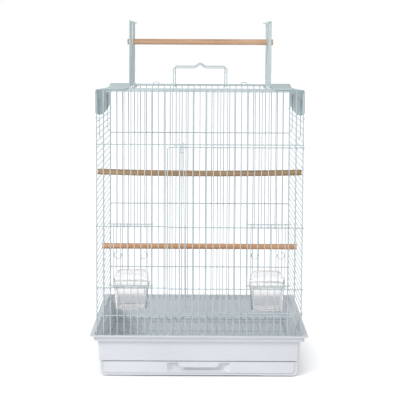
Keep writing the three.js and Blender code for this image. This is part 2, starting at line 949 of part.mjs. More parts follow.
function mainDoor() {
  const wires = [];
  const hingeCurl = (z) => curlRoundUpright(doorAxisX, frontY, z, 1, -1, ringTurnDegrees);
  const frameRadius = wireSpacing / 3;
  wires.push(bentWire([
    ...hingeCurl(doorFoot).reverse(),
    point(doorFrameX + frameRadius, doorRailY, doorFoot),
    point(doorFrameX, doorRailY, doorFoot + frameRadius),
    point(doorFrameX, doorRailY, doorTop - frameRadius),
    point(doorFrameX + frameRadius, doorRailY, doorTop),
    ...hingeCurl(doorTop),
  ], railWire, alongY));
  for (const z of [doorMid, doorLow]) {
    wires.push(bentWire([point(doorFrameX, doorRailY, z), ...hingeCurl(z)], railWire, alongY));
  }
  const upright = (index, from, to) => wires.push(straightWire(
    point(wireX(index), doorWireY, from),
    point(wireX(index), doorWireY, to),
    gridWire,
    alongY,
  ));
  const low = doorFoot - wireTip;
  const high = doorTop + wireTip;
  for (let index = doorwayIndex + 1; index < lastWire; index += 1) {
    if (isFeederWire(index, 'right')) {
      upright(index, low, doorLow + wireTip);
      upright(index, doorMid - wireTip, high);
    } else if (index !== stiffenedIndex) {
      upright(index, low, high);
    }
  }
  const stiffenerY = doorRailY - (stiffWire + railWire) / 2 + weldBite;
  wires.push(straightWire(
    point(stiffenerPlace, stiffenerY, low),
    point(stiffenerPlace, stiffenerY, high),
    stiffWire,
    alongY,
  ));
  wires.push(straightWire(
    point(doorFrameX, doorRailY, footRailLevel + braceRise),
    point(stiffenerPlace + wireTip, doorRailY, footRailLevel + braceRise),
    gridWire,
    alongY,
  ));
  return weld(wires);
}

// Latch wire: it slides up and down on the door, with a hook at its head
function doorLatch() {
  const footRadius = gridWire + runningGap;
  const rodY = frontY - gridWire - runningGap;
  const hookY = rodY - gridWire + weldBite;
  const hookLeft = latchPlace - latchTurn;
  const latchRodTop = doorHeadLevel + latchRodRise;
  const latchTurnLevel = doorHeadLevel - latchTurnDrop;
  const latchFootLevel = footRailLevel + latchFootRise;
  const rod = bentWire([
    point(latchPlace, rodY, latchRodTop),
    point(latchPlace, rodY, latchTurnLevel),
    ...arcPoints(point(wireX(latchIndex), doorWireY, latchFootLevel), alongX, alongY, footRadius,
      -90 - latchLeadDegrees, latchTurnDegrees, bendSteps),
  ], gridWire, alongY);
  const hook = bentWire([
    point(hookLeft, hookY, latchRodTop),
    ...arcPoints(point(latchPlace - latchTurn / 2, hookY, latchTurnLevel + latchTurn / 2),
      alongX, alongZ, latchTurn / 2, 180, 360, bendSteps),
    point(latchPlace, hookY, doorHeadLevel + latchTopRise),
  ], gridWire, alongY);
  return weld([rod, hook]);
}

// Feeder doors: they slide up on two uprights, held by curls

const feederWireY = { left: frontY, right: doorWireY };

function feederDoor(side) {
  const wires = [];
  const first = feederFirstIndexes[side];
  const left = wireX(first);
  const right = wireX(first + feederGaps);
  const uprightY = feederWireY[side];
  const bottom = lowRailLevel + feederRise;
  const feederTop = midRailLevel + feederHeadRise;
  const ribY = uprightY - curlRadius - weldStep;
  for (const z of [bottom, feederTop]) {
    wires.push(bentWire([
      ...curlRoundUpright(left, uprightY, z, -1, -1, feederTurnDegrees).reverse(),
      ...curlRoundUpright(right, uprightY, z, -1, 1, feederTurnDegrees),
    ], railWire, alongY));
  }
  for (let gap = 0; gap < feederGaps; gap += 1) {
    const x = left + (gap + 0.5) * wireSpacing;
    wires.push(straightWire(
      point(x, ribY, bottom - wireTip),
      point(x, ribY, feederTop + wireTip),
      gridWire,
      alongY,
    ));
  }
  const hookY = ribY + (gridWire + climbingWire) / 2 - weldBite;
  for (const signX of [-1, 1]) {
    const centre = point((left + right) / 2 + signX * hookPlace, hookY, hookLevel);
    wires.push(bentWire(arcPoints(centre, alongX.clone().multiplyScalar(signX), alongZ, hookRadius,
      hookStartDegrees, hookStartDegrees + hookSweepDegrees, bendSteps), climbingWire, alongY));
  }
  return weld(wires);
}

// Cups

function cupCentre(side) {
  const first = feederFirstIndexes[side];
  return (wireX(first) + wireX(first + feederGaps)) / 2;
}

function cup(side) {
  const x = cupCentre(side);
  const wireY = feederWireY[side];
  const railLevel = side === 'right' ? doorLow : lowRailLevel;
  const tabFoot = railLevel + railWire / 2 + seatGap;
  const front = wireY + weldStep + railWire / 2 + seatGap;
  const rim = tabFoot + tabThickness;
  const shape = [
    [cupBottomHalf, cupBottomDepth, rim - cupHeight],
    [cupNeckHalf, cupNeckDepth, rim - cupFlare],
    [cupHalf, cupDepth, rim],
    [cupHalf, cupDepth, rim + cupLip],
  ];
  const loop = (half, depth, z, inset) => roundedLoop(half - inset, depth / 2 - inset,
    cupCorner - inset, z, x, front + depth / 2, cupCornerSteps);
  const outside = shape.map(([half, depth, z]) => loop(half, depth, z, 0));
  const inside = shape.map(([half, depth, z], index) => loop(half, depth,
    index === 0 ? z + cupWall : z, cupWall)).reverse();
  let whole = solid(loft([...outside, ...inside], false));
  for (const signX of [-1, 1]) {
    const middle = x + signX * tabPlace;
    whole = whole.add(solid(block(
      point(middle - tabHalf, wireY + gridWire / 2 + seatGap, tabFoot),
      point(middle + tabHalf, front + cupWall / 2, rim),
    )));
  }
  return fromSolid(whole);
}

// Hood over a cup, open towards the inside of the cage
function cupHood(side) {
  const x = cupCentre(side);
  const railLevel = side === 'right' ? doorLow : lowRailLevel;
  const foot = railLevel + railWire / 2 + tabThickness + cupLip + seatGap * 2;
  const front = feederWireY[side] + weldStep + railWire / 2 + seatGap;
  const outer = [];
  const inner = [];
  hoodDepthShares.forEach((depthShare, row) => {
    const rise = hoodHeightShares[row] * hoodHeight;
    const skin = (inset) => hoodAcrossShares.map(([share, riseShare]) => point(
      x + share * (cupHalf - inset),
      front + depthShare * cupDepth + (row === hoodDepthShares.length - 1 ? 0 : inset),
      foot + riseShare * (rise - inset),
    ));
    outer.push(skin(0));
    inner.push(skin(hoodWall));
  });
  return sheet(outer, inner);
}

// The assembly

const finishes = {
  coat: { color: 0xccd9db, roughness: 0.42, metalness: 0.1 },
  plastic: { color: 0xdfe2e8, roughness: 0.5, metalness: 0 },
  clear: { color: 0xf2e9ea, roughness: 0.15, metalness: 0, transparent: true, opacity: 0.4 },
  wood: { color: 0xcda27c, roughness: 0.7, metalness: 0 },
};

const cage = new THREE.Group();

function place(name, finish, geometry) {
  const material = new THREE.MeshStandardMaterial(finishes[finish]);
  const mesh = new THREE.Mesh(geometry, material);
  mesh.name = name;
  cage.add(mesh);
}

place('base_housing', 'plastic', baseHousing());
place('slide_out_tray', 'plastic', slideOutTray());
place('floor_grille', 'coat', floorGrille());
place('front_panel', 'coat', frontPanel());
place('back_panel', 'coat', backPanel());
place('left_side_panel', 'coat', sidePanel(-1));
place('right_side_panel', 'coat', sidePanel(1));
place('front_left_clip', 'coat', cornerClip(-1, -1));
place('front_right_clip', 'coat', cornerClip(1, -1));
place('back_left_clip', 'coat', cornerClip(-1, 1));
place('back_right_clip', 'coat', cornerClip(1, 1));
place('roof_frame', 'coat', roofFrame());
place('left_wing', 'coat', wing(-1));
place('right_wing', 'coat', wing(1));
place('left_hatch', 'coat', hatch(-1));
place('right_hatch', 'coat', hatch(1));
place('front_bail', 'coat', bail(-1));
place('back_bail', 'coat', bail(1));
place('play_perch', 'wood', playPerch());
place('upper_perch', 'wood', notchedPerch(upperPerchDepth, upperPerchLevel));
place('lower_perch', 'wood', notchedPerch(lowerPerchDepth,
  upperPerchLevel - lowerPerchSteps * climbingSpacing));
place('main_door', 'coat', mainDoor());
place('door_latch', 'coat', doorLatch());
for (const side of ['left', 'right']) {
  place(`${side}_feeder_door`, 'coat', feederDoor(side));
  place(`${side}_cup`, 'clear', cup(side));
  place(`${side}_cup_hood`, 'clear', cupHood(side));
}

export default cage;
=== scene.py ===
# Play top bird cage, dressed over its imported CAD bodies.
# Lengths are in millimetres in the tables and functions; MM turns them into metres.

import json
import math

import bmesh
import bpy
from mathutils import Matrix, Vector


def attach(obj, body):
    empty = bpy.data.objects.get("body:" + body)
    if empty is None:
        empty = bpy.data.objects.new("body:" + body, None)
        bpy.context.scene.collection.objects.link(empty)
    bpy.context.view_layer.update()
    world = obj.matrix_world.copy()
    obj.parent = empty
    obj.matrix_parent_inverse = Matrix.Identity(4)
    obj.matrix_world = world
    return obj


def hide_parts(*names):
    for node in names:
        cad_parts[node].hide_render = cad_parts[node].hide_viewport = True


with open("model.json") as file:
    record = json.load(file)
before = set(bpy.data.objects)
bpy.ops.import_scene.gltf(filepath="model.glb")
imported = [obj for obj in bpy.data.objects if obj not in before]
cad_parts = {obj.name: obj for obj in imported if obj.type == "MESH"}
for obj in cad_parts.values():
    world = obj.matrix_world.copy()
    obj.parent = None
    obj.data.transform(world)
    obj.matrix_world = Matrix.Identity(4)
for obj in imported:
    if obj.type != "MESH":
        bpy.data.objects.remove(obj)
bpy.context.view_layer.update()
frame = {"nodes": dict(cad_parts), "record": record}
MM = 0.001

# Wire diameters, spacing, clearances and curls, as in the CAD
SPACING = 14.4
GAPS = 30
GRID = 2.0
RAIL = 2.4
CLIMB = 1.8
STIFF = 3.2
BITE = 0.3
RUNNING = 0.4
SEAT = 0.3
TIP = 2.4
PANEL = SPACING * GAPS / 2
WELD = (GRID + RAIL) / 2 - BITE
CURL = GRID / 2 + RUNNING + RAIL / 2
CURL_TURN = 250

# Heights of the wire body
ROOF = 606.8
ROD = ROOF - WELD
WIRE_TOP = ROOF + 0.8
CORNER_TOP = ROOF - 5
EDGE_RAIL = ROOF - 2.4
DOOR_HEAD = 493.6
MID_RAIL = 320.7
LOW_RAIL = 189.8
FOOT_RAIL = 130.6
DOOR_TOP = DOOR_HEAD - 6
DOOR_MID = MID_RAIL - 2
DOOR_LOW = LOW_RAIL - 2
DOOR_FOOT = FOOT_RAIL + 5.5
BACK_RAILS = (489.9, 317.5, 161.7)
UPPER_PERCH = 428.5
CLIMB_SPACING = 13.85
LOWER_PERCH = UPPER_PERCH - 13 * CLIMB_SPACING
PLAY_PERCH = 708

# Places along and across the panels
DOORWAY = 10
KEEPERS = (11, 12)
KEEPER_DROP = 2
STIFFENER_X = -42
STIFFENED_WIRE = 12
DOOR_ROUNDING = 5.5
BRACE = FOOT_RAIL + 33.5
FEEDER_FIRST = {"left": 2, "right": 22}
FEEDER_GAPS = 6
FEEDER_RISE = 5.5
FEEDER_TURN = 230
FEEDER_LOOP_X = 27
FEEDER_LOOP_LEVEL = 260.8
FEEDER_LOOP_RADIUS = 7.5
FEEDER_LOOP_ANGLES = (150, 450)
FEEDER_LOOP_STEPS = 40
CORNER_GAP = 6.5
SIDE = PANEL - CORNER_GAP
HINGE_X = 150
OPENING = 8 * SPACING
RAIL_Y = -PANEL + WELD
DOOR_RAIL_Y = -PANEL + CURL
DOOR_WIRE_Y = DOOR_RAIL_Y - WELD
DOOR_FRAME_X = DOORWAY * SPACING - PANEL + 4.4
FEEDER_WIRE_Y = {"left": -PANEL, "right": DOOR_WIRE_Y}

# Door latch
LATCH_WIRE = 13
LATCH_X = -34
LATCH_ROD_TOP = DOOR_HEAD + 2
LATCH_HOOK_TOP = DOOR_HEAD + 5
LATCH_TURN_LEVEL = DOOR_HEAD - 17
LATCH_TURN_RADIUS = 3.2
LATCH_FOOT = FOOT_RAIL + 17.2
LATCH_FOOT_ANGLES = (-120, 130)

# The side panels' uprights between the corners, their climbing wires and the corner clips
POST_SHARE = 0.48
STAY_SHARES = (0.19, 0.77)
STAY_LENGTH = 82
STAY_FOOT = 5
STAY_ROUNDING = 3
CLIMB_X = PANEL + (GRID + CLIMB) / 2 - BITE
CLIMB_BELOW = 24
CLIMB_ABOVE = 8
CLIMB_OVERHANG = 2
CLIP_RISE = 1.4
CLIP_THICKNESS = 1.4
CLIP_WIDTH = 2.2
CLIP_ROUNDING = 0.5

# Wings
WING_SHEET = 1.0
WING_CLEARANCE = 5
WING_TOP = ROOF + GRID / 2 + SEAT + WING_SHEET
WING_OUTER = PANEL + GRID / 2 + SEAT + WING_SHEET
WING_HALF = PANEL + 1.4
FLAP_FOOT = WING_TOP - 62.5
ROLL_RADIUS = 23
END_RADIUS = 4.5
END_RISE = 12.5
WING_EDGE = WING_OUTER - ROLL_RADIUS
WING_STEPS = 48
ROLL_STEPS = 14

# Roof wires and loops, hatches and bails
ROOF_ROWS = 8
LOOP_X = 106
LOOP_RADIUS = 7.5
LOOP_HEIGHT_SHARE = 0.72
HATCH_RIBS = 16
HATCH_CURLS = (2, 8, 15)
HATCH_TOP = ROD + 146.5
HATCH_BASE = ROD + 6.5
HATCH_ROUNDING = 4
HATCH_TIP = 6
HATCH_TIP_PLACE = 86.4
BAIL_HALF = 4 * SPACING
BAIL_TOP = ROOF + 45.3
BAIL_PEAK = 6.9
BAIL_PEAK_FOOT = 10.8
BAIL_PEAK_HALF = 2.2
BAIL_ROUNDING = 4.5

# Perches
PERCH_RADIUS = 6.35
PERCH_BEVEL = 1.2
PERCH_CAP = 0.5
PERCH_STEPS = 12
PERCH_FACETS = 48
PERCH_OVERHANG = 2.4
PLAY_PERCH_OVERHANG = 10.4
UPPER_PERCH_Y = -134
UPPER_PERCH_SAG = 3.2
LOWER_PERCH_Y = -17
NOTCH_HALF = 1.3
CRADLE = PERCH_RADIUS + RUNNING + RAIL / 2

# Base
CHANNEL = 80.6
CHANNEL_OUTER = PANEL + 4
CHANNEL_INNER = PANEL - 4
CHANNEL_DRAFT = 0.5
LEDGE_HALF = CHANNEL_OUTER + 3.2
LEDGE_FOOT = CHANNEL - 3
RIM_HALF = LEDGE_HALF + 7.8
RIM_TOP = CHANNEL + 9.8
RIM_FOOT = RIM_TOP - 2.8
RIM_CORNER = 9
CORNER_SHRINK = 0.24
BODY_TOP_HALF = LEDGE_HALF - 8.8
BODY_FOOT_HALF = BODY_TOP_HALF - 2.2
BODY_TOP = CHANNEL - 5.6
BODY_FOOT = 33.3
BODY_WALL = 2.8
BODY_ROUNDING = 1.1
SHELF = BODY_FOOT + 2.5
SKIRT_HALF = BODY_FOOT_HALF - 6
SKIRT_WALL = 2.9
SKIRT_INSIDE = SKIRT_HALF - SKIRT_WALL
RUNNER = 1.8
RUNNER_WIDTH = 70
SLAB_DEPTH = 9
SLAB_BITE = 1
GRILLE_WIRES = 21
GRILLE_GAP = 1.5
GRILLE_RAIL_SHARES = (-0.93, 0.28, 0.93)

# Tray
TRAY_GAP = 0.6
TRAY_HALF = SKIRT_INSIDE - TRAY_GAP
TRAY_BACK = SKIRT_INSIDE - 8.3
TRAY_FLOOR = RUNNER + TRAY_GAP
TRAY_TOP = BODY_FOOT - 1.8
TRAY_RIM = TRAY_TOP - 2.8
TRAY_WALL = 2
TRAY_CORNER = 10
TRAY_ROUNDING = 0.9
TRAY_SILL = 7.4
TRAY_PANEL_HALF = 203
TRAY_GROOVE = 1.3
TRAY_FACE = BODY_FOOT_HALF + 0.2
TRAY_FACE_HALF = SKIRT_HALF + 2.6
TRAY_FACE_BACK = TRAY_FACE - 12
FACE_CORNER = 9
FACE_BITE = 0.5
FACE_EDGE = 0.5
FACE_STEP = 0.8
FACE_SIDES_Y = -190
GROOVE_DEPTH = 2.4
POCKET_MOUTH = ((-66.5, 8.4), (66.5, 8.4), (68.5, 29.5), (-68.5, 29.5))
POCKET_FLOOR = ((-56, 14), (56, 14), (58, 28.6), (-58, 28.6))
POCKET_SHARES = ((3, -0.05), (0, 0), (-9, 1))
POCKET_ROUNDING = 4
LIP = ((-50, 31), (-45.5, 29.6), (-39, 19.3), (39, 19.3), (45.5, 29.6), (50, 31))
LIP_FRONT = TRAY_FACE - 0.35
LIP_BACK = TRAY_FACE - 3.1
LIP_ROUNDING = 5
LIP_EDGE = 1.1

# Cups and hoods
CUP_HALF = 38.5
CUP_DEPTH = 66
CUP_WALL = 2
CUP_LIP = 3.7
CUP_SHAPE = ((33, 54, -49.6), (35.3, 59.6, -10), (CUP_HALF, CUP_DEPTH, 0),
             (CUP_HALF, CUP_DEPTH, CUP_LIP))
CUP_FOOT_INSET = 6
CUP_CORNER = 9
CUP_CORNER_SHRINK = 0.5
CUP_LEAST_CORNER = 2
CUP_ROUNDING = 2.4
PALE_RIM_DEPTH = 1
TAB_HALF = 12
TAB_PLACE = 26.5
TAB_THICKNESS = 1.6
TAB_EDGE = 0.5
HOOD_HEIGHT = 26
HOOD_REACH = 0.62
HOOD_WALL = 1.8
HOOD_STEPS = 24
HOOD_POWER = 3.9
HOOD_FIRST_SHARE = 0.1
HOOD_SECTION = ((-1, 0), (-0.92, 0.72), (-0.72, 1), (0.72, 1), (0.92, 0.72), (1, 0))
HOOD_ROUNDING = 0.2

# How finely forms are cut
WIRE_FACETS = 12
WIRE_CROWN_SHARE = 0.35
WIRE_END_SHARE = 0.6
CURL_STEPS = 22
CORNER_STEPS = 8
CLIP_CORNER_STEPS = 6
LIP_EDGE_STEPS = 4
SMOOTH_ANGLE = math.radians(40)
EDGE_ANGLE = math.radians(35)
MERGE = 0.001
HAIR = 0.01
OVERRUN = 5

X = Vector((1, 0, 0))
Y = Vector((0, 1, 0))
Z = Vector((0, 0, 1))


def wire_x(index):
    return index * SPACING - PANEL


# Meshes

def new_piece(name, verts, faces):
    """A closed piece from points in millimetres, its normals turned out."""
    mesh = bpy.data.meshes.new(name)
    mesh.from_pydata([Vector(v) * MM for v in verts], [], faces)
    tidy = bmesh.new()
    tidy.from_mesh(mesh)
    bmesh.ops.remove_doubles(tidy, verts=tidy.verts, dist=MERGE * MM)
    bmesh.ops.recalc_face_normals(tidy, faces=tidy.faces)
    if tidy.calc_volume(signed=True) < 0:
        bmesh.ops.reverse_faces(tidy, faces=tidy.faces)
    tidy.to_mesh(mesh)
    tidy.free()
    mesh.shade_smooth()
    mesh.set_sharp_from_angle(angle=SMOOTH_ANGLE)
    piece = bpy.data.objects.new(name, mesh)
    bpy.context.scene.collection.objects.link(piece)
    return piece


def dress(piece, body, slot, material, *nodes):
    """Gives the piece its material, unless it has its own, hangs it on its body and hides the CAD
    nodes that it stands in for.
    """
    if material:
        piece.data.materials.clear()
        piece.data.materials.append(material)
    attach(piece, body)
    if nodes:
        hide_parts(*nodes)
    return piece


def bake(piece):
    """Puts the result of the piece's modifiers into its mesh."""
    graph = bpy.context.evaluated_depsgraph_get()
    before = piece.data
    piece.data = bpy.data.meshes.new_from_object(piece.evaluated_get(graph))
    piece.modifiers.clear()
    bpy.data.meshes.remove(before)


def combine(piece, other, operation):
    """Joins the other piece to this one, or cuts it out, and removes it."""
    change = piece.modifiers.new("shape", "BOOLEAN")
    change.operation = operation
    change.solver = "EXACT"
    change.material_mode = "TRANSFER"
    change.object = other
    bake(piece)
    bpy.data.objects.remove(other)


def round_edges(piece, width, steps=3):
    change = piece.modifiers.new("edges", "BEVEL")
    change.width = width * MM
    change.segments = steps
    change.limit_method = "ANGLE"
    change.angle_limit = EDGE_ANGLE
    bake(piece)


def shade_flat_faces_flat(piece):
    piece.data.shade_smooth()
    piece.data.set_sharp_from_angle(angle=SMOOTH_ANGLE)
    change = piece.modifiers.new("normals", "WEIGHTED_NORMAL")
    change.keep_sharp = True
    bake(piece)


def arc(centre, across, up, radius, start, end, steps=CURL_STEPS):
    """Points round the centre, with the angles in degrees from across towards up."""
    points = []
    for step in range(steps + 1):
        angle = math.radians(start + (end - start) * step / steps)
        points.append(centre + across * math.cos(angle) * radius + up * math.sin(angle) * radius)
    return points


class Wires:
    """Round wires collected into one mesh."""

    def __init__(self):
        self.verts = []
        self.faces = []

    def add(self, points, diameter):
        """Adds a wire through the points, with slightly rounded ends."""
        facets = WIRE_FACETS
        points = [Vector(p) for p in points]
        radius = diameter / 2
        crown = radius * WIRE_CROWN_SHARE
        end_width = radius * WIRE_END_SHARE
        lead = (points[1] - points[0]).normalized()
        tail = (points[-1] - points[-2]).normalized()
        path = [points[0], points[0] + lead * crown, *points[1:-1], points[-1] - tail * crown,
                points[-1]]
        widths = [end_width] + [radius] * (len(path) - 2) + [end_width]
        side = lead.orthogonal().normalized()
        last = lead
        first = len(self.verts)
        for index, place in enumerate(path):
            before = path[index] - path[index - 1] if index else lead
            after = path[index + 1] - path[index] if index < len(path) - 1 else tail
            tangent = (before.normalized() + after.normalized()).normalized()
            side = last.rotation_difference(tangent) @ side
            last = tangent
            over = tangent.cross(side)
            for facet in range(facets):
                angle = 2 * math.pi * facet / facets
                offset = side * math.cos(angle) + over * math.sin(angle)
                self.verts.append(place + offset * widths[index])
        for ring in range(len(path) - 1):
            base = first + ring * facets
            for facet in range(facets):
                follow = (facet + 1) % facets
                self.faces.append((base + facet, base + follow, base + facets + follow,
                                   base + facets + facet))
        self.faces.append(tuple(first + facet for facet in reversed(range(facets))))
        last_ring = first + (len(path) - 1) * facets
        self.faces.append(tuple(last_ring + facet for facet in range(facets)))

    def piece(self, name):
        return new_piece(name, self.verts, self.faces)


def rounded_corner(before, corner, after, rounding, steps):
    """A curve that leaves the corner out, tangent to the two lines that meet there."""
    reach = min(rounding, (corner - before).length / 2, (after - corner).length / 2)
    start = corner.lerp(before, reach / (before - corner).length)
    end = corner.lerp(after, reach / (after - corner).length)
    points = []
    for step in range(steps + 1):
        share = step / steps
        points.append(start.lerp(corner, share).lerp(corner.lerp(end, share), share))
    return points


def smooth_path(points, rounding, steps=6):
    """The open path with each inner corner rounded by an arc-like curve."""
    points = [Vector(p) for p in points]
    path = [points[0]]
    for before, corner, after in zip(points, points[1:], points[2:]):
        path += rounded_corner(before, corner, after, rounding, steps)
    return [*path, points[-1]]


def smooth_outline(points, rounding, steps=3):
    """The closed outline with every corner rounded."""
    points = [Vector(p) for p in points]
    path = []
    for index, corner in enumerate(points):
        after = points[(index + 1) % len(points)]
        path += rounded_corner(points[index - 1], corner, after, rounding, steps)
    return path


def rounded_loop(half_x, half_y, radius, z, centre=(0, 0), steps=CORNER_STEPS):
    """A rounded rectangle of points at one height."""
    loop = []
    for sign_x, sign_y, start in ((1, 1, 0), (-1, 1, 90), (-1, -1, 180), (1, -1, 270)):
        middle = Vector((centre[0] + sign_x * (half_x - radius),
                         centre[1] + sign_y * (half_y - radius), z))
        loop += arc(middle, X, Y, radius, start, start + 90, steps)
    return loop


def loft(rings, closed=False):
    """Skin over rings of equally many points; without closed, the end rings are capped."""
    count = len(rings[0])
    faces = []
    for ring in range(len(rings) if closed else len(rings) - 1):
        low = ring * count
        high = (ring + 1) % len(rings) * count
        for index in range(count):
            follow = (index + 1) % count
            faces.append((low + index, low + follow, high + follow, high + index))
    if not closed:
        faces.append(tuple(reversed(range(count))))
        faces.append(tuple(range((len(rings) - 1) * count, len(rings) * count)))
    return [place for ring in rings for place in ring], faces


def sheet(outer, inner):
    """Skin round two grids of points of the same size, the faces of a bent sheet."""
    rows = len(outer)
    columns = len(outer[0])
    verts = [place for grid in (outer, inner) for row in grid for place in row]

    def at(grid, row, column):
        return grid * rows * columns + row * columns + column

    faces = []
    for grid in (0, 1):
        for row in range(rows - 1):
            for column in range(columns - 1):
                faces.append((at(grid, row, column), at(grid, row, column + 1),
                              at(grid, row + 1, column + 1), at(grid, row + 1, column)))
    for row in range(rows - 1):
        for column in (0, columns - 1):
            faces.append((at(0, row, column), at(0, row + 1, column),
                          at(1, row + 1, column), at(1, row, column)))
    for column in range(columns - 1):
        for row in (0, rows - 1):
            faces.append((at(0, row, column), at(0, row, column + 1),
                          at(1, row, column + 1), at(1, row, column)))
    return verts, faces


def block(low, high):
    """A box between two opposite corners."""
    corners = [(x, y, z) for x in (low[0], high[0]) for y in (low[1], high[1])
               for z in (low[2], high[2])]
    faces = [(0, 1, 3, 2), (4, 6, 7, 5), (0, 4, 5, 1), (2, 3, 7, 6), (0, 2, 6, 4), (1, 5, 7, 3)]
    return new_piece("block", corners, faces)


def upright_plate(outline, front, back):
    """A plate between the depths -front and -back, with an outline of X and Z."""
    rings = [[(x, -depth, z) for x, z in outline] for depth in (front, back)]
    return new_piece("plate", *loft(rings))


# Materials

def node_material(name):
    material = bpy.data.materials.new(name)
    material.use_nodes = True
    nodes = material.node_tree.nodes
    return material, nodes, material.node_tree.links, nodes["Principled BSDF"]


def object_noise(nodes, links, scale, detail=3, stretch=(1, 1, 1)):
    place = nodes.new("ShaderNodeTexCoord")
    mapping = nodes.new("ShaderNodeMapping")
    mapping.inputs["Scale"].default_value = stretch
    noise = nodes.new("ShaderNodeTexNoise")
    noise.inputs["Scale"].default_value = scale
    noise.inputs["Detail"].default_value = detail
    links.new(place.outputs["Object"], mapping.inputs["Vector"])
    links.new(mapping.outputs["Vector"], noise.inputs["Vector"])
    return noise.outputs["Fac"]


def ramp(nodes, links, source, stops):
    node = nodes.new("ShaderNodeValToRGB")
    elements = node.color_ramp.elements
    for index, (place, colour) in enumerate(stops):
        element = elements[index] if index < 2 else elements.new(place)
        element.position = place
        element.color = (*colour, 1)
    links.new(source, node.inputs["Fac"])
    return node.outputs["Color"]


def span(nodes, links, source, low, high, least=0, most=1):
    """The source, from least to most, spread over low to high."""
    node = nodes.new("ShaderNodeMapRange")
    node.inputs["From Min"].default_value = least
    node.inputs["From Max"].default_value = most
    node.inputs["To Min"].default_value = low
    node.inputs["To Max"].default_value = high
    links.new(source, node.inputs["Value"])
    return node.outputs["Result"]


def bump(nodes, links, shader, height, strength, distance):
    node = nodes.new("ShaderNodeBump")
    node.inputs["Strength"].default_value = strength
    node.inputs["Distance"].default_value = distance
    links.new(height, node.inputs["Height"])
    links.new(node.outputs["Normal"], shader.inputs["Normal"])


def mottle(nodes, links, shader, dark, light, scale, detail=3):
    """Faint clouds between two near tones."""
    cloud = object_noise(nodes, links, scale, detail)
    links.new(ramp(nodes, links, cloud, [(0.3, dark), (0.7, light)]), shader.inputs["Base Color"])


def vary_gloss(nodes, links, shader, low, high, scale, detail=3):
    noise = object_noise(nodes, links, scale, detail)
    links.new(span(nodes, links, noise, low, high), shader.inputs["Roughness"])


def powder_coat(name, dark, light, gloss):
    material, nodes, links, shader = node_material(name)
    mottle(nodes, links, shader, dark, light, scale=18, detail=4)
    vary_gloss(nodes, links, shader, low=0.3, high=0.46, scale=60)
    grain = object_noise(nodes, links, scale=900, detail=2)
    bump(nodes, links, shader, grain, strength=0.12, distance=0.0002)
    shader.inputs["Specular IOR Level"].default_value = gloss
    shader.inputs["Coat Weight"].default_value = gloss / 3
    return material


def moulded(name, dark, light, low, high):
    material, nodes, links, shader = node_material(name)
    mottle(nodes, links, shader, dark, light, scale=9, detail=5)
    vary_gloss(nodes, links, shader, low, high, scale=35, detail=4)
    grain = object_noise(nodes, links, scale=1400, detail=2)
    bump(nodes, links, shader, grain, strength=0.1, distance=0.0002)
    return material


def clear_plastic(name, dark, light, low, high, clearness):
    material, nodes, links, shader = node_material(name)
    mottle(nodes, links, shader, dark, light, scale=30)
    vary_gloss(nodes, links, shader, low, high, scale=80)
    shader.inputs["Transmission Weight"].default_value = clearness
    shader.inputs["IOR"].default_value = 1.32
    ripple = object_noise(nodes, links, scale=300, detail=2)
    bump(nodes, links, shader, ripple, strength=0.04, distance=0.0003)
    return material


def dowel_wood(name, dark, middle, light):
    """Wood with its grain along X."""
    material, nodes, links, shader = node_material(name)
    grain = object_noise(nodes, links, scale=120, detail=8, stretch=(0.06, 1, 1))
    colour = ramp(nodes, links, grain, [(0.25, dark), (0.75, light), (0.5, middle)])
    links.new(colour, shader.inputs["Base Color"])
    links.new(span(nodes, links, grain, low=0.75, high=0.5), shader.inputs["Roughness"])
    fibre = object_noise(nodes, links, scale=400, detail=6, stretch=(0.04, 1, 1))
    bump(nodes, links, shader, fibre, strength=0.3, distance=0.0003)
    return material


coat = powder_coat("powder_coat", (0.53, 0.62, 0.64), (0.60, 0.69, 0.71), 0.4)
# The wing sheets' coat is the wires' powder coat with less gloss. Its colour is darker than the
# wires' as painted shade on the wings.
shaded_sheet_coat = powder_coat("shaded_sheet_coat", (0.48, 0.60, 0.62), (0.53, 0.65, 0.67), 0.05)
plastic = moulded("base_plastic", (0.73, 0.755, 0.79), (0.78, 0.805, 0.84), 0.34, 0.5)
tray_plastic = moulded("tray_plastic", (0.75, 0.78, 0.81), (0.80, 0.82, 0.85), 0.3, 0.45)
clear = clear_plastic("clear_plastic", (0.972, 0.957, 0.963), (0.987, 0.975, 0.979),
                      0.09, 0.16, 0.965)
# This is a pale, nearly opaque plastic for the cups' rim bands and tabs. It is rougher and far
# less clear than the cup's body.
pale_rim = clear_plastic("pale_rim_plastic", (0.95, 0.94, 0.95), (0.985, 0.98, 0.985),
                        0.3, 0.45, 0.15)
play_wood = dowel_wood("play_perch_wood", (0.464, 0.273, 0.157), (0.643, 0.396, 0.253),
                       (0.750, 0.501, 0.348))
grey_wood = dowel_wood("upper_perch_wood", (0.277, 0.158, 0.078), (0.446, 0.282, 0.157),
                       (0.571, 0.378, 0.227))
warm_wood = dowel_wood("lower_perch_wood", (0.518, 0.255, 0.122), (0.678, 0.370, 0.192),
                       (0.786, 0.475, 0.288))

finish = {"coat": coat, "sheet": shaded_sheet_coat, "plastic": plastic, "clear": clear, "wood": play_wood}
slots = {part["node"]: part["material_slot"] for part in frame["record"]["subparts"]}
for name, node in frame["nodes"].items():
    node.data.materials.clear()
    node.data.materials.append(finish[slots[name]])


# Front and back panels

def curl_round(x, y, z, rail_side, turn, degrees):
    """The end of a rail bent round an upright wire."""
    start = rail_side * 90
    return arc(Vector((x, y, z)), X, Y, CURL, start, start + turn * degrees)


def is_feeder_wire(index, side):
    first = FEEDER_FIRST[side]
    return first < index < first + FEEDER_GAPS


def panel_top(index):
    return CORNER_TOP if index in (0, GAPS) else WIRE_TOP


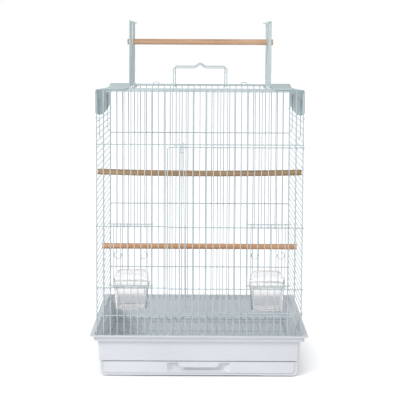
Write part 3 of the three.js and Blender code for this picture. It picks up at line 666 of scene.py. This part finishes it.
def front_panel():
    wires = Wires()

    def upright(index, low, high):
        wires.add([(wire_x(index), -PANEL, low), (wire_x(index), -PANEL, high)], GRID)

    def rail(z, end):
        wires.add([(-PANEL - TIP, RAIL_Y, z), (end + TIP, RAIL_Y, z)], RAIL)

    foot = CHANNEL + SEAT
    for index in range(GAPS + 1):
        if DOORWAY < index < GAPS:
            upright(index, foot, FOOT_RAIL + TIP)
            if index not in KEEPERS:
                upright(index, DOOR_HEAD - TIP, WIRE_TOP)
        elif is_feeder_wire(index, "left"):
            upright(index, foot, LOW_RAIL + TIP)
            upright(index, MID_RAIL - TIP, WIRE_TOP)
        else:
            upright(index, foot, panel_top(index))
    left, right = (wire_x(index) for index in KEEPERS)
    radius = (right - left) / 2
    turn = Vector(((left + right) / 2, -PANEL, DOOR_HEAD - KEEPER_DROP + radius))
    wires.add([(left, -PANEL, WIRE_TOP), *arc(turn, X, Z, radius, 180, 360),
               (right, -PANEL, WIRE_TOP)], GRID)
    wires.add([(-WING_EDGE, RAIL_Y, EDGE_RAIL), (WING_EDGE, RAIL_Y, EDGE_RAIL)], RAIL)
    rail(DOOR_HEAD, PANEL)
    rail(FOOT_RAIL, PANEL)
    rail(MID_RAIL, wire_x(DOORWAY))
    rail(LOW_RAIL, wire_x(DOORWAY))
    return wires.piece("front_panel_wires")


def back_panel():
    wires = Wires()
    for index in range(GAPS + 1):
        wires.add([(wire_x(index), PANEL, CHANNEL + SEAT),
                   (wire_x(index), PANEL, panel_top(index))], GRID)
    for level, end in (*((level, PANEL + TIP) for level in BACK_RAILS), (EDGE_RAIL, WING_EDGE)):
        wires.add([(-end, -RAIL_Y, level), (end, -RAIL_Y, level)], RAIL)
    return wires.piece("back_panel_wires")


# Side panels and clips

def side_panel(side, name):
    wires = Wires()
    x = side * PANEL
    foot = CHANNEL + SEAT
    inner_top = WING_TOP - ROLL_RADIUS
    for y in (-SIDE, SIDE):
        wires.add([(x, y, foot), (x, y, CORNER_TOP)], GRID)
    middle = (POST_SHARE * 2 - 1) * PANEL
    wires.add([(x, middle, foot), (x, middle, inner_top)], GRID)
    bend = inner_top - STAY_LENGTH
    for share in STAY_SHARES:
        y = (share * 2 - 1) * PANEL
        stay = [(x, y, inner_top), (x, y, bend), (x - side * STAY_FOOT, y, bend - STAY_FOOT)]
        wires.add(smooth_path(stay, STAY_ROUNDING), GRID)
    end = SIDE + CLIMB_OVERHANG
    for step in range(-CLIMB_BELOW, CLIMB_ABOVE + 1):
        level = UPPER_PERCH + step * CLIMB_SPACING
        wires.add([(side * CLIMB_X, -end, level), (side * CLIMB_X, end, level)], CLIMB)
    return wires.piece(name)


def corner_clip(sign_x, sign_y, name):
    """A strip bent round the corner wires of two panels."""
    centre = (sign_x * PANEL, sign_y * (PANEL + SIDE) / 2)
    inside = GRID / 2 + RUNNING
    reach = CORNER_GAP / 2
    low = FLAP_FOOT + CLIP_RISE
    section = smooth_outline([(0, 0), (CLIP_THICKNESS, 0), (CLIP_THICKNESS, CLIP_WIDTH),
                              (0, CLIP_WIDTH)], CLIP_ROUNDING, 2)
    rings = [rounded_loop(inside + out, inside + out + reach, inside + out - HAIR, low + up,
                          centre, CLIP_CORNER_STEPS) for out, up in section]
    return new_piece(name, *loft(rings, closed=True))


# Roof

def roof_frame():
    wires = Wires()
    end_y = PANEL - GRID - SEAT
    for sign in (-1, 1):
        for step in range(ROOF_ROWS):
            y = sign * (end_y if step == ROOF_ROWS - 1 else OPENING + step * SPACING)
            wires.add([(-WING_EDGE, y, ROOF), (WING_EDGE, y, ROOF)], GRID)
        wires.add([(0, sign * (OPENING - TIP), ROD), (0, sign * end_y, ROD)], RAIL)
        wires.add([(sign * HINGE_X, -end_y, ROD), (sign * HINGE_X, end_y, ROD)], RAIL)
        x = sign * LOOP_X
        wires.add([(x - LOOP_RADIUS, end_y, ROOF - BITE),
                   *arc(Vector((x, end_y, ROOF + SEAT)), X, Z * LOOP_HEIGHT_SHARE, LOOP_RADIUS,
                        180, 0),
                   (x + LOOP_RADIUS, end_y, ROOF - BITE)], GRID)
    return wires.piece("roof_wires")


def wing(side, name):
    """Sheet cap of one side of the roof, rolled down into a flap that hangs lowest midway."""
    outer = []
    inner = []
    for step in range(WING_STEPS + 1):
        share = -math.cos(math.pi * step / WING_STEPS)
        bow = share ** 2
        radius = ROLL_RADIUS + (END_RADIUS - ROLL_RADIUS) * bow
        centre = Vector((WING_OUTER - radius, share * WING_HALF, WING_TOP - radius))
        for grid, inset in ((outer, 0), (inner, WING_SHEET)):
            top = Vector((HINGE_X + WING_CLEARANCE, centre.y, WING_TOP - inset))
            foot = Vector((WING_OUTER - inset, centre.y, FLAP_FOOT + END_RISE * bow))
            row = [top, *arc(centre, X, Z, radius - inset, 90, 0, ROLL_STEPS), foot]
            grid.append([Vector((place.x * side, place.y, place.z)) for place in row])
    return new_piece(name, *sheet(outer, inner))


def hatch(side, name):
    """One half of the opened roof, upright, with a cradle for the roof perch."""
    wires = Wires()
    rod_x = side * HINGE_X
    rib_x = rod_x + side * CURL
    bar_x = rib_x - side * WELD
    half = (HATCH_RIBS - 1) / 2 * SPACING
    for index in range(HATCH_RIBS):
        y = index * SPACING - half
        rib_top = PLAY_PERCH - CRADLE / 3 if abs(y) < CRADLE else HATCH_TOP + TIP
        if index in HATCH_CURLS:
            curl = arc(Vector((rod_x, y, ROD)), X * side, Z, CURL, 0, -CURL_TURN)
            wires.add([(rib_x, y, rib_top), *curl], GRID)
        else:
            wires.add([(rib_x, y, HATCH_BASE - TIP), (rib_x, y, rib_top)], GRID)
    end = half + TIP
    wires.add([(bar_x, -end, HATCH_BASE), (bar_x, end, HATCH_BASE)], RAIL)
    cradle = arc(Vector((bar_x, 0, PLAY_PERCH)), Y, Z, CRADLE, 180, 360)
    left = smooth_path([(bar_x, -end, HATCH_TOP), (bar_x, -CRADLE, HATCH_TOP), cradle[0]],
                       HATCH_ROUNDING)
    right = smooth_path([cradle[-1], (bar_x, CRADLE, HATCH_TOP), (bar_x, end, HATCH_TOP)],
                        HATCH_ROUNDING)
    wires.add([*left[:-1], *cradle, *right[1:]], RAIL)
    for y in (-HATCH_TIP_PLACE, HATCH_TIP_PLACE):
        wires.add([(bar_x, y, HATCH_TOP), (bar_x - side * HATCH_TIP, y, HATCH_TOP)], GRID)
    return wires.piece(name)


def bail(sign, name):
    """A carrying handle with a small peak, its feet curled round a roof wire."""
    wires = Wires()
    axis_y = sign * OPENING
    leg_y = axis_y - sign * CURL
    peak = BAIL_TOP + BAIL_PEAK
    inward = Y * -sign
    left = arc(Vector((-BAIL_HALF, axis_y, ROOF)), inward, Z, CURL, -CURL_TURN, 0)
    right = arc(Vector((BAIL_HALF, axis_y, ROOF)), inward, Z, CURL, 0, -CURL_TURN)
    middle = smooth_path([
        left[-1], (-BAIL_HALF, leg_y, BAIL_TOP), (-BAIL_PEAK_FOOT, leg_y, BAIL_TOP),
        (-BAIL_PEAK_HALF, leg_y, peak), (BAIL_PEAK_HALF, leg_y, peak),
        (BAIL_PEAK_FOOT, leg_y, BAIL_TOP), (BAIL_HALF, leg_y, BAIL_TOP), right[0],
    ], BAIL_ROUNDING)
    wires.add([*left[:-1], *middle, *right[1:]], RAIL)
    return wires.piece(name)


# Perches

def perch(name, half, y, z, sag=0):
    """A dowel along X, sag lower in its middle than at its ends."""
    radius = PERCH_RADIUS - HAIR
    side = [(half * step / PERCH_STEPS, radius) for step in range(-PERCH_STEPS, PERCH_STEPS + 1)]
    profile = smooth_path([(-half, PERCH_CAP), *side, (half, PERCH_CAP)], PERCH_BEVEL, 4)
    last_facet = PERCH_FACETS - 1
    rings = [arc(Vector((x, y, z - sag * (1 - (x / half) ** 2))), Y, Z, width,
                 0, 360 * last_facet / PERCH_FACETS, last_facet) for x, width in profile]
    return new_piece(name, *loft(rings))


def notched_perch(name, y, z, sag=0):
    """A dowel with a slot at each end, over a climbing wire."""
    half = CLIMB_X + PERCH_OVERHANG
    dowel = perch(name, half, y, z, sag)
    slot_floor = CLIMB_X - CLIMB / 2 - SEAT
    across = PERCH_RADIUS + OVERRUN
    for near, far in ((slot_floor, half + OVERRUN), (-half - OVERRUN, -slot_floor)):
        combine(dowel, block((near, y - across, z - NOTCH_HALF),
                             (far, y + across, z + NOTCH_HALF)), "DIFFERENCE")
    shade_flat_faces_flat(dowel)
    return dowel


# Base and tray

def base_housing():
    profile = smooth_outline([
        (SKIRT_HALF, 0), (SKIRT_HALF, BODY_FOOT), (BODY_FOOT_HALF, BODY_FOOT),
        (BODY_TOP_HALF, BODY_TOP), (LEDGE_HALF, LEDGE_FOOT), (LEDGE_HALF, RIM_FOOT),
        (RIM_HALF, RIM_FOOT), (RIM_HALF, RIM_TOP), (CHANNEL_OUTER + CHANNEL_DRAFT, RIM_TOP),
        (CHANNEL_OUTER, CHANNEL), (CHANNEL_INNER, CHANNEL), (BODY_TOP_HALF - BODY_WALL, BODY_TOP),
        (BODY_FOOT_HALF - BODY_WALL, SHELF), (SKIRT_INSIDE, SHELF), (SKIRT_INSIDE, 0),
    ], BODY_ROUNDING)
    rings = [rounded_loop(half, half, RIM_CORNER - (RIM_HALF - half) * CORNER_SHRINK, z)
             for half, z in profile]
    housing = new_piece("base_body", *loft(rings, closed=True))
    combine(housing, block((-SKIRT_INSIDE, -BODY_TOP_HALF, -OVERRUN),
                           (SKIRT_INSIDE, RIM_CORNER - SKIRT_INSIDE, BODY_FOOT)), "DIFFERENCE")
    wide = SKIRT_INSIDE + SLAB_BITE
    combine(housing, block((-wide, SKIRT_INSIDE - SLAB_DEPTH, TRAY_RIM + TRAY_GAP),
                           (wide, wide, SHELF)), "UNION")
    outer = SKIRT_HALF - SKIRT_WALL / 2
    inner = outer - RUNNER_WIDTH
    for left, right in ((-outer, -inner), (inner, outer)):
        combine(housing, block((left, -SKIRT_HALF, 0), (right, outer, RUNNER)), "UNION")
    shade_flat_faces_flat(housing)
    return housing


def tray_pan():
    middle = (TRAY_BACK - TRAY_FACE_BACK) / 2
    half_y = (TRAY_BACK + TRAY_FACE_BACK) / 2
    profile = smooth_path([
        (TRAY_WALL, TRAY_FLOOR), (0, TRAY_FLOOR + TRAY_WALL), (0, TRAY_RIM), (TRAY_WALL, TRAY_RIM),
        (TRAY_WALL, TRAY_FLOOR + TRAY_WALL * 2), (TRAY_WALL * 2, TRAY_FLOOR + TRAY_WALL),
    ], TRAY_ROUNDING, 3)
    rings = [rounded_loop(TRAY_HALF - inset, half_y - inset, TRAY_CORNER - inset, z, (0, middle))
             for inset, z in profile]
    return new_piece("tray_body", *loft(rings))


def tray_front():
    """The tray's face: a plate with a narrow groove round its raised panel."""
    def face(half, foot, depth, back=TRAY_FACE_BACK - FACE_BITE):
        level = foot + FACE_CORNER
        left = arc(Vector((FACE_CORNER - half, level, 0)), X, Y, FACE_CORNER, 180, 270,
                   CORNER_STEPS)
        right = arc(Vector((half - FACE_CORNER, level, 0)), X, Y, FACE_CORNER, 270, 360,
                    CORNER_STEPS)
        outline = [(half, TRAY_TOP), (-half, TRAY_TOP), *((p.x, p.y) for p in left + right)]
        return upright_plate(outline, depth, back)

    front = face(TRAY_FACE_HALF, TRAY_FLOOR, TRAY_FACE - FACE_STEP)
    combine(front, face(TRAY_PANEL_HALF + TRAY_GROOVE, TRAY_SILL - TRAY_GROOVE,
                        TRAY_FACE + OVERRUN, TRAY_FACE - GROOVE_DEPTH), "DIFFERENCE")
    combine(front, face(TRAY_PANEL_HALF, TRAY_SILL, TRAY_FACE), "UNION")
    beyond = TRAY_FACE_HALF + OVERRUN
    for near, far in ((TRAY_HALF, beyond), (-beyond, -TRAY_HALF)):
        combine(front, block((near, -SKIRT_HALF - TRAY_GAP, -OVERRUN),
                             (far, FACE_SIDES_Y, TRAY_TOP + OVERRUN)), "DIFFERENCE")
    combine(front, tray_pocket(), "DIFFERENCE")
    round_edges(front, FACE_EDGE)
    combine(front, tray_lip(), "UNION")
    return front


def tray_pocket():
    """The hollow for the fingers, with side walls that slope in and a rising floor."""
    mouth = smooth_outline(POCKET_MOUTH, POCKET_ROUNDING, 5)
    floor = smooth_outline(POCKET_FLOOR, POCKET_ROUNDING, 5)
    rings = []
    for ahead, share in POCKET_SHARES:
        y = -TRAY_FACE - ahead
        rings.append([(a.x + (b.x - a.x) * share, y, a.y + (b.y - a.y) * share)
                      for a, b in zip(mouth, floor)])
    return new_piece("pocket", *loft(rings))


def tray_lip():
    outline = smooth_outline(LIP, LIP_ROUNDING, 6)
    lip = upright_plate([(p.x, p.y) for p in outline], LIP_FRONT, LIP_BACK)
    round_edges(lip, LIP_EDGE, LIP_EDGE_STEPS)
    return lip


def slide_out_tray():
    tray = tray_pan()
    combine(tray, tray_front(), "UNION")
    shade_flat_faces_flat(tray)
    return tray


def floor_grille():
    wires = Wires()
    half = BODY_FOOT_HALF - BODY_WALL - GRILLE_GAP
    level = SHELF + SEAT + RAIL / 2
    last = half - SPACING / 2
    for index in range(GRILLE_WIRES):
        x = -last + 2 * last * index / (GRILLE_WIRES - 1)
        wires.add([(x, -half, level + WELD), (x, half, level + WELD)], GRID)
    for share in GRILLE_RAIL_SHARES:
        wires.add([(-half, share * half, level), (half, share * half, level)], RAIL)
    return wires.piece("floor_wires")


# Doors

def main_door():
    wires = Wires()

    def hinge(z):
        return curl_round(PANEL, -PANEL, z, 1, -1, CURL_TURN)

    def upright(x, y, low, high, diameter):
        wires.add([(x, y, low), (x, y, high)], diameter)

    corners = smooth_path([
        (PANEL, DOOR_RAIL_Y, DOOR_FOOT), (DOOR_FRAME_X, DOOR_RAIL_Y, DOOR_FOOT),
        (DOOR_FRAME_X, DOOR_RAIL_Y, DOOR_TOP), (PANEL, DOOR_RAIL_Y, DOOR_TOP),
    ], DOOR_ROUNDING)
    wires.add([*reversed(hinge(DOOR_FOOT)), *corners[1:-1], *hinge(DOOR_TOP)], RAIL)
    for z in (DOOR_MID, DOOR_LOW):
        wires.add([(DOOR_FRAME_X, DOOR_RAIL_Y, z), *hinge(z)], RAIL)
    low = DOOR_FOOT - TIP
    high = DOOR_TOP + TIP
    for index in range(DOORWAY + 1, GAPS):
        if is_feeder_wire(index, "right"):
            upright(wire_x(index), DOOR_WIRE_Y, low, DOOR_LOW + TIP, GRID)
            upright(wire_x(index), DOOR_WIRE_Y, DOOR_MID - TIP, high, GRID)
        elif index != STIFFENED_WIRE:
            upright(wire_x(index), DOOR_WIRE_Y, low, high, GRID)
    upright(STIFFENER_X, DOOR_RAIL_Y - (STIFF + RAIL) / 2 + BITE, low, high, STIFF)
    wires.add([(DOOR_FRAME_X, DOOR_RAIL_Y, BRACE), (STIFFENER_X + TIP, DOOR_RAIL_Y, BRACE)], GRID)
    return wires.piece("main_door_wires")


def door_latch():
    """A rod that curls round a door wire at its foot, with a hook beside its top."""
    wires = Wires()
    rod_y = -PANEL - GRID - RUNNING
    hook_y = rod_y - GRID + BITE
    foot = arc(Vector((wire_x(LATCH_WIRE), DOOR_WIRE_Y, LATCH_FOOT)), X, Y, GRID + RUNNING,
               *LATCH_FOOT_ANGLES)
    wires.add([(LATCH_X, rod_y, LATCH_ROD_TOP), (LATCH_X, rod_y, LATCH_TURN_LEVEL), *foot], GRID)
    radius = LATCH_TURN_RADIUS
    turn = arc(Vector((LATCH_X - radius, hook_y, LATCH_TURN_LEVEL + radius)), X, Z, radius,
               180, 360)
    wires.add([(LATCH_X - radius * 2, hook_y, LATCH_ROD_TOP), *turn,
               (LATCH_X, hook_y, LATCH_HOOK_TOP)], GRID)
    return wires.piece("door_latch_wire")


def feeder_door(side, name):
    """A small sliding door: ribs on two rails that curl round the panel's wires."""
    wires = Wires()
    first = FEEDER_FIRST[side]
    left = wire_x(first)
    right = wire_x(first + FEEDER_GAPS)
    wire_y = FEEDER_WIRE_Y[side]
    bottom = LOW_RAIL + FEEDER_RISE
    top = MID_RAIL + FEEDER_RISE
    rib_y = wire_y - CURL - WELD
    for z in (bottom, top):
        wires.add([*reversed(curl_round(left, wire_y, z, -1, -1, FEEDER_TURN)),
                   *curl_round(right, wire_y, z, -1, 1, FEEDER_TURN)], RAIL)
    for gap in range(FEEDER_GAPS):
        x = left + (gap + 0.5) * SPACING
        wires.add([(x, rib_y, bottom - TIP), (x, rib_y, top + TIP)], GRID)
    hook_y = rib_y + (GRID + CLIMB) / 2 - BITE
    for sign in (-1, 1):
        centre = Vector(((left + right) / 2 + sign * FEEDER_LOOP_X, hook_y, FEEDER_LOOP_LEVEL))
        wires.add(arc(centre, X * sign, Z, FEEDER_LOOP_RADIUS, *FEEDER_LOOP_ANGLES,
                      FEEDER_LOOP_STEPS), CLIMB)
    return wires.piece(name)


# Cups

def cup_place(side):
    """The cup's middle, its front face and the level of the rail that it hangs on."""
    first = FEEDER_FIRST[side]
    middle = (wire_x(first) + wire_x(first + FEEDER_GAPS)) / 2
    front = FEEDER_WIRE_Y[side] + WELD + RAIL / 2 + SEAT
    return middle, front, (DOOR_LOW if side == "right" else LOW_RAIL) + RAIL / 2


def cup(side, name):
    """An open vessel with two tabs that hang over the rail. Its rim band and tabs are in a pale,
    nearly opaque plastic.
    """
    x, front, rail_top = cup_place(side)
    rim = rail_top + SEAT + TAB_THICKNESS
    half, depth, up = CUP_SHAPE[0]
    shell = [(half, depth, up, CUP_FOOT_INSET), *((*step, 0) for step in CUP_SHAPE)]
    lining = [(half, depth, up + CUP_WALL, CUP_FOOT_INSET + CUP_WALL),
              (half, depth, up + CUP_WALL, CUP_WALL),
              *((*step, CUP_WALL) for step in CUP_SHAPE[1:])]
    skin = [(half - inset, depth / 2 - inset, depth / 2, rim + up)
            for half, depth, up, inset in (*shell, *reversed(lining))]
    rings = []
    for half, deep, centre, z in smooth_path(skin, CUP_ROUNDING, 5):
        corner = max(CUP_LEAST_CORNER, CUP_CORNER - (CUP_HALF - half) * CUP_CORNER_SHRINK)
        rings.append(rounded_loop(half, deep, corner, z, (x, front + centre)))
    vessel = new_piece(name, *loft(rings))
    vessel.data.materials.append(clear)
    vessel.data.materials.append(pale_rim)
    for face in vessel.data.polygons:
        if face.center.z > (rim - PALE_RIM_DEPTH) * MM:
            face.material_index = 1
    for sign in (-1, 1):
        middle = x + sign * TAB_PLACE
        tab = block((middle - TAB_HALF, FEEDER_WIRE_Y[side] + GRID / 2 + SEAT, rail_top + SEAT),
                    (middle + TAB_HALF, front + CUP_WALL / 2, rim))
        round_edges(tab, TAB_EDGE)
        tab.data.materials.append(pale_rim)
        combine(vessel, tab, "UNION")
    shade_flat_faces_flat(vessel)
    return vessel


def cup_hood(side, name):
    """Hood over a cup, rounded at the front and open towards the inside of the cage."""
    x, front, rail_top = cup_place(side)
    foot = rail_top + TAB_THICKNESS + CUP_LIP + SEAT * 2
    across = smooth_path(HOOD_SECTION, HOOD_ROUNDING)
    outer = []
    inner = []
    for step in range(HOOD_STEPS + 1):
        reach = HOOD_REACH * (1 - math.cos(math.pi / 2 * step / HOOD_STEPS))
        share = (1 - (1 - reach / HOOD_REACH) ** HOOD_POWER) ** (1 / HOOD_POWER)
        rise = max(HOOD_FIRST_SHARE, share) * HOOD_HEIGHT
        for grid, inset in ((outer, 0), (inner, HOOD_WALL)):
            y = front + reach * CUP_DEPTH + (0 if step == HOOD_STEPS else inset)
            grid.append([(x + out * (CUP_HALF - inset), y, foot + lift * (rise - inset))
                         for out, lift in across])
    return new_piece(name, *sheet(outer, inner))


for side in (-1, 1):
    hand = "left" if side < 0 else "right"
    end = "front" if side < 0 else "back"
    dress(side_panel(side, hand + "_side_wires"), "cage", "coat", coat, hand + "_side_panel")
    # The wing sheets get the darker coat, which is painted shade on the wings.
    dress(wing(side, hand + "_wing_sheet"), "cage", "sheet", shaded_sheet_coat, hand + "_wing")
    dress(hatch(side, hand + "_hatch_wires"), hand + "_hatch", "coat", coat, hand + "_hatch")
    dress(bail(side, end + "_bail_wire"), end + "_bail", "coat", coat, end + "_bail")
    dress(feeder_door(hand, hand + "_feeder_wires"), hand + "_feeder_door", "coat", coat,
          hand + "_feeder_door")
    dress(cup(hand, hand + "_cup_vessel"), hand + "_cup", "clear", None, hand + "_cup")
    dress(cup_hood(hand, hand + "_hood_shell"), hand + "_cup", "clear", clear, hand + "_cup_hood")
    for depth_side, row in ((-1, "front_"), (1, "back_")):
        name = row + hand + "_clip"
        dress(corner_clip(side, depth_side, name + "_strip"), "cage", "coat", coat, name)
dress(front_panel(), "cage", "coat", coat, "front_panel")
dress(back_panel(), "cage", "coat", coat, "back_panel")
dress(roof_frame(), "cage", "coat", coat, "roof_frame")
dress(floor_grille(), "cage", "coat", coat, "floor_grille")
dress(main_door(), "main_door", "coat", coat, "main_door")
dress(door_latch(), "door_latch", "coat", coat, "door_latch")
dress(base_housing(), "cage", "plastic", plastic, "base_housing")
dress(slide_out_tray(), "tray", "plastic", tray_plastic, "slide_out_tray")
dress(perch("play_dowel", HINGE_X + CURL + PLAY_PERCH_OVERHANG, 0, PLAY_PERCH),
      "play_perch", "wood", play_wood, "play_perch")
dress(notched_perch("upper_dowel", UPPER_PERCH_Y, UPPER_PERCH, UPPER_PERCH_SAG),
      "cage", "wood", grey_wood, "upper_perch")
dress(notched_perch("lower_dowel", LOWER_PERCH_Y, LOWER_PERCH),
      "cage", "wood", warm_wood, "lower_perch")


# The room, in metres

LAMP_TARGET = (0, 0, 0.3)
CAMERA_PLACE = (0, -2.9053, 0.7009)
CAMERA_TILT = math.radians(85)
CAMERA_ROLL = math.radians(0.27)
FLOOR_HALF = 30
WHITE = (1, 1, 1, 1)
DAYLIGHT = (0.97, 0.98, 1, 1)


def soft_lamp(name, place, size, power):
    lamp = bpy.data.lights.new(name, "AREA")
    lamp.shape = "DISK"
    lamp.size = size
    lamp.energy = power
    holder = bpy.data.objects.new(name, lamp)
    holder.location = place
    aim = Vector(LAMP_TARGET) - Vector(place)
    holder.rotation_euler = aim.to_track_quat("-Z", "Y").to_euler()
    bpy.context.scene.collection.objects.link(holder)


def seen_directly(nodes, links):
    """1 for rays that the camera, a gloss or a clear piece sees, otherwise 0."""
    path = nodes.new("ShaderNodeLightPath")
    total = path.outputs["Is Camera Ray"]
    for kind in ("Is Glossy Ray", "Is Transmission Ray"):
        larger = nodes.new("ShaderNodeMath")
        larger.operation = "MAXIMUM"
        links.new(total, larger.inputs[0])
        links.new(path.outputs[kind], larger.inputs[1])
        total = larger.outputs["Value"]
    return total


def make_world():
    """Soft light on the cage, in front of plain white."""
    world = bpy.data.worlds.new("studio")
    world.use_nodes = True
    nodes = world.node_tree.nodes
    links = world.node_tree.links
    light = nodes["Background"]
    light.inputs["Color"].default_value = DAYLIGHT
    light.inputs["Strength"].default_value = 0.52
    white = nodes.new("ShaderNodeBackground")
    white.inputs["Color"].default_value = WHITE
    white.inputs["Strength"].default_value = 1
    mix = nodes.new("ShaderNodeMixShader")
    links.new(seen_directly(nodes, links), mix.inputs["Fac"])
    links.new(light.outputs["Background"], mix.inputs[1])
    links.new(white.outputs["Background"], mix.inputs[2])
    links.new(mix.outputs["Shader"], nodes["World Output"].inputs["Surface"])
    bpy.context.scene.world = world


def make_floor():
    """White ground that glows where the sky is open. Near the base the glow fades, a painted
    shadow added to the lamps' own shadow under the base.
    """
    mesh = bpy.data.meshes.new("floor")
    far = FLOOR_HALF
    mesh.from_pydata([(-far, -far, 0), (far, -far, 0), (far, far, 0), (-far, far, 0)], [],
                     [(0, 1, 2, 3)])
    floor = bpy.data.objects.new("floor", mesh)
    bpy.context.scene.collection.objects.link(floor)
    material, nodes, links, shader = node_material("floor_paper")
    shader.inputs["Roughness"].default_value = 0.9
    shader.inputs["Specular IOR Level"].default_value = 0.1
    mottle(nodes, links, shader, (0.88, 0.88, 0.885), (0.9, 0.9, 0.905), scale=0.6, detail=2)
    shader.inputs["Emission Color"].default_value = WHITE
    # The glow fades where the cage and base hide the sky. This is a painted shadow on the floor,
    # darkest in the gap under the tray.
    open_sky = nodes.new("ShaderNodeAmbientOcclusion")
    open_sky.samples = 16
    open_sky.inputs["Distance"].default_value = 0.22
    brightness = span(nodes, links, open_sky.outputs["AO"], 0, 0.62, least=0.2, most=0.8)
    brightness.node.interpolation_type = "SMOOTHSTEP"
    glow = nodes.new("ShaderNodeMath")
    glow.operation = "MULTIPLY"
    links.new(seen_directly(nodes, links), glow.inputs[0])
    links.new(brightness, glow.inputs[1])
    links.new(glow.outputs["Value"], shader.inputs["Emission Strength"])
    mesh.materials.append(material)


def make_camera():
    data = bpy.data.cameras.new("camera")
    data.sensor_width = 36
    data.lens = 116.258
    data.shift_x = 0.0006
    data.shift_y = -0.1047
    data.clip_end = 100
    camera = bpy.data.objects.new("camera", data)
    turn = Matrix.Rotation(CAMERA_TILT, 4, "X") @ Matrix.Rotation(CAMERA_ROLL, 4, "Z")
    camera.matrix_world = Matrix.Translation(CAMERA_PLACE) @ turn
    bpy.context.scene.collection.objects.link(camera)
    bpy.context.scene.camera = camera


make_world()
make_floor()
soft_lamp("key", (-1.9, -2.1, 2.0), size=1.2, power=47)
soft_lamp("fill", (0.7, -3.3, 1.1), size=1.8, power=12)
make_camera()
bpy.context.scene.view_settings.view_transform = "Standard"
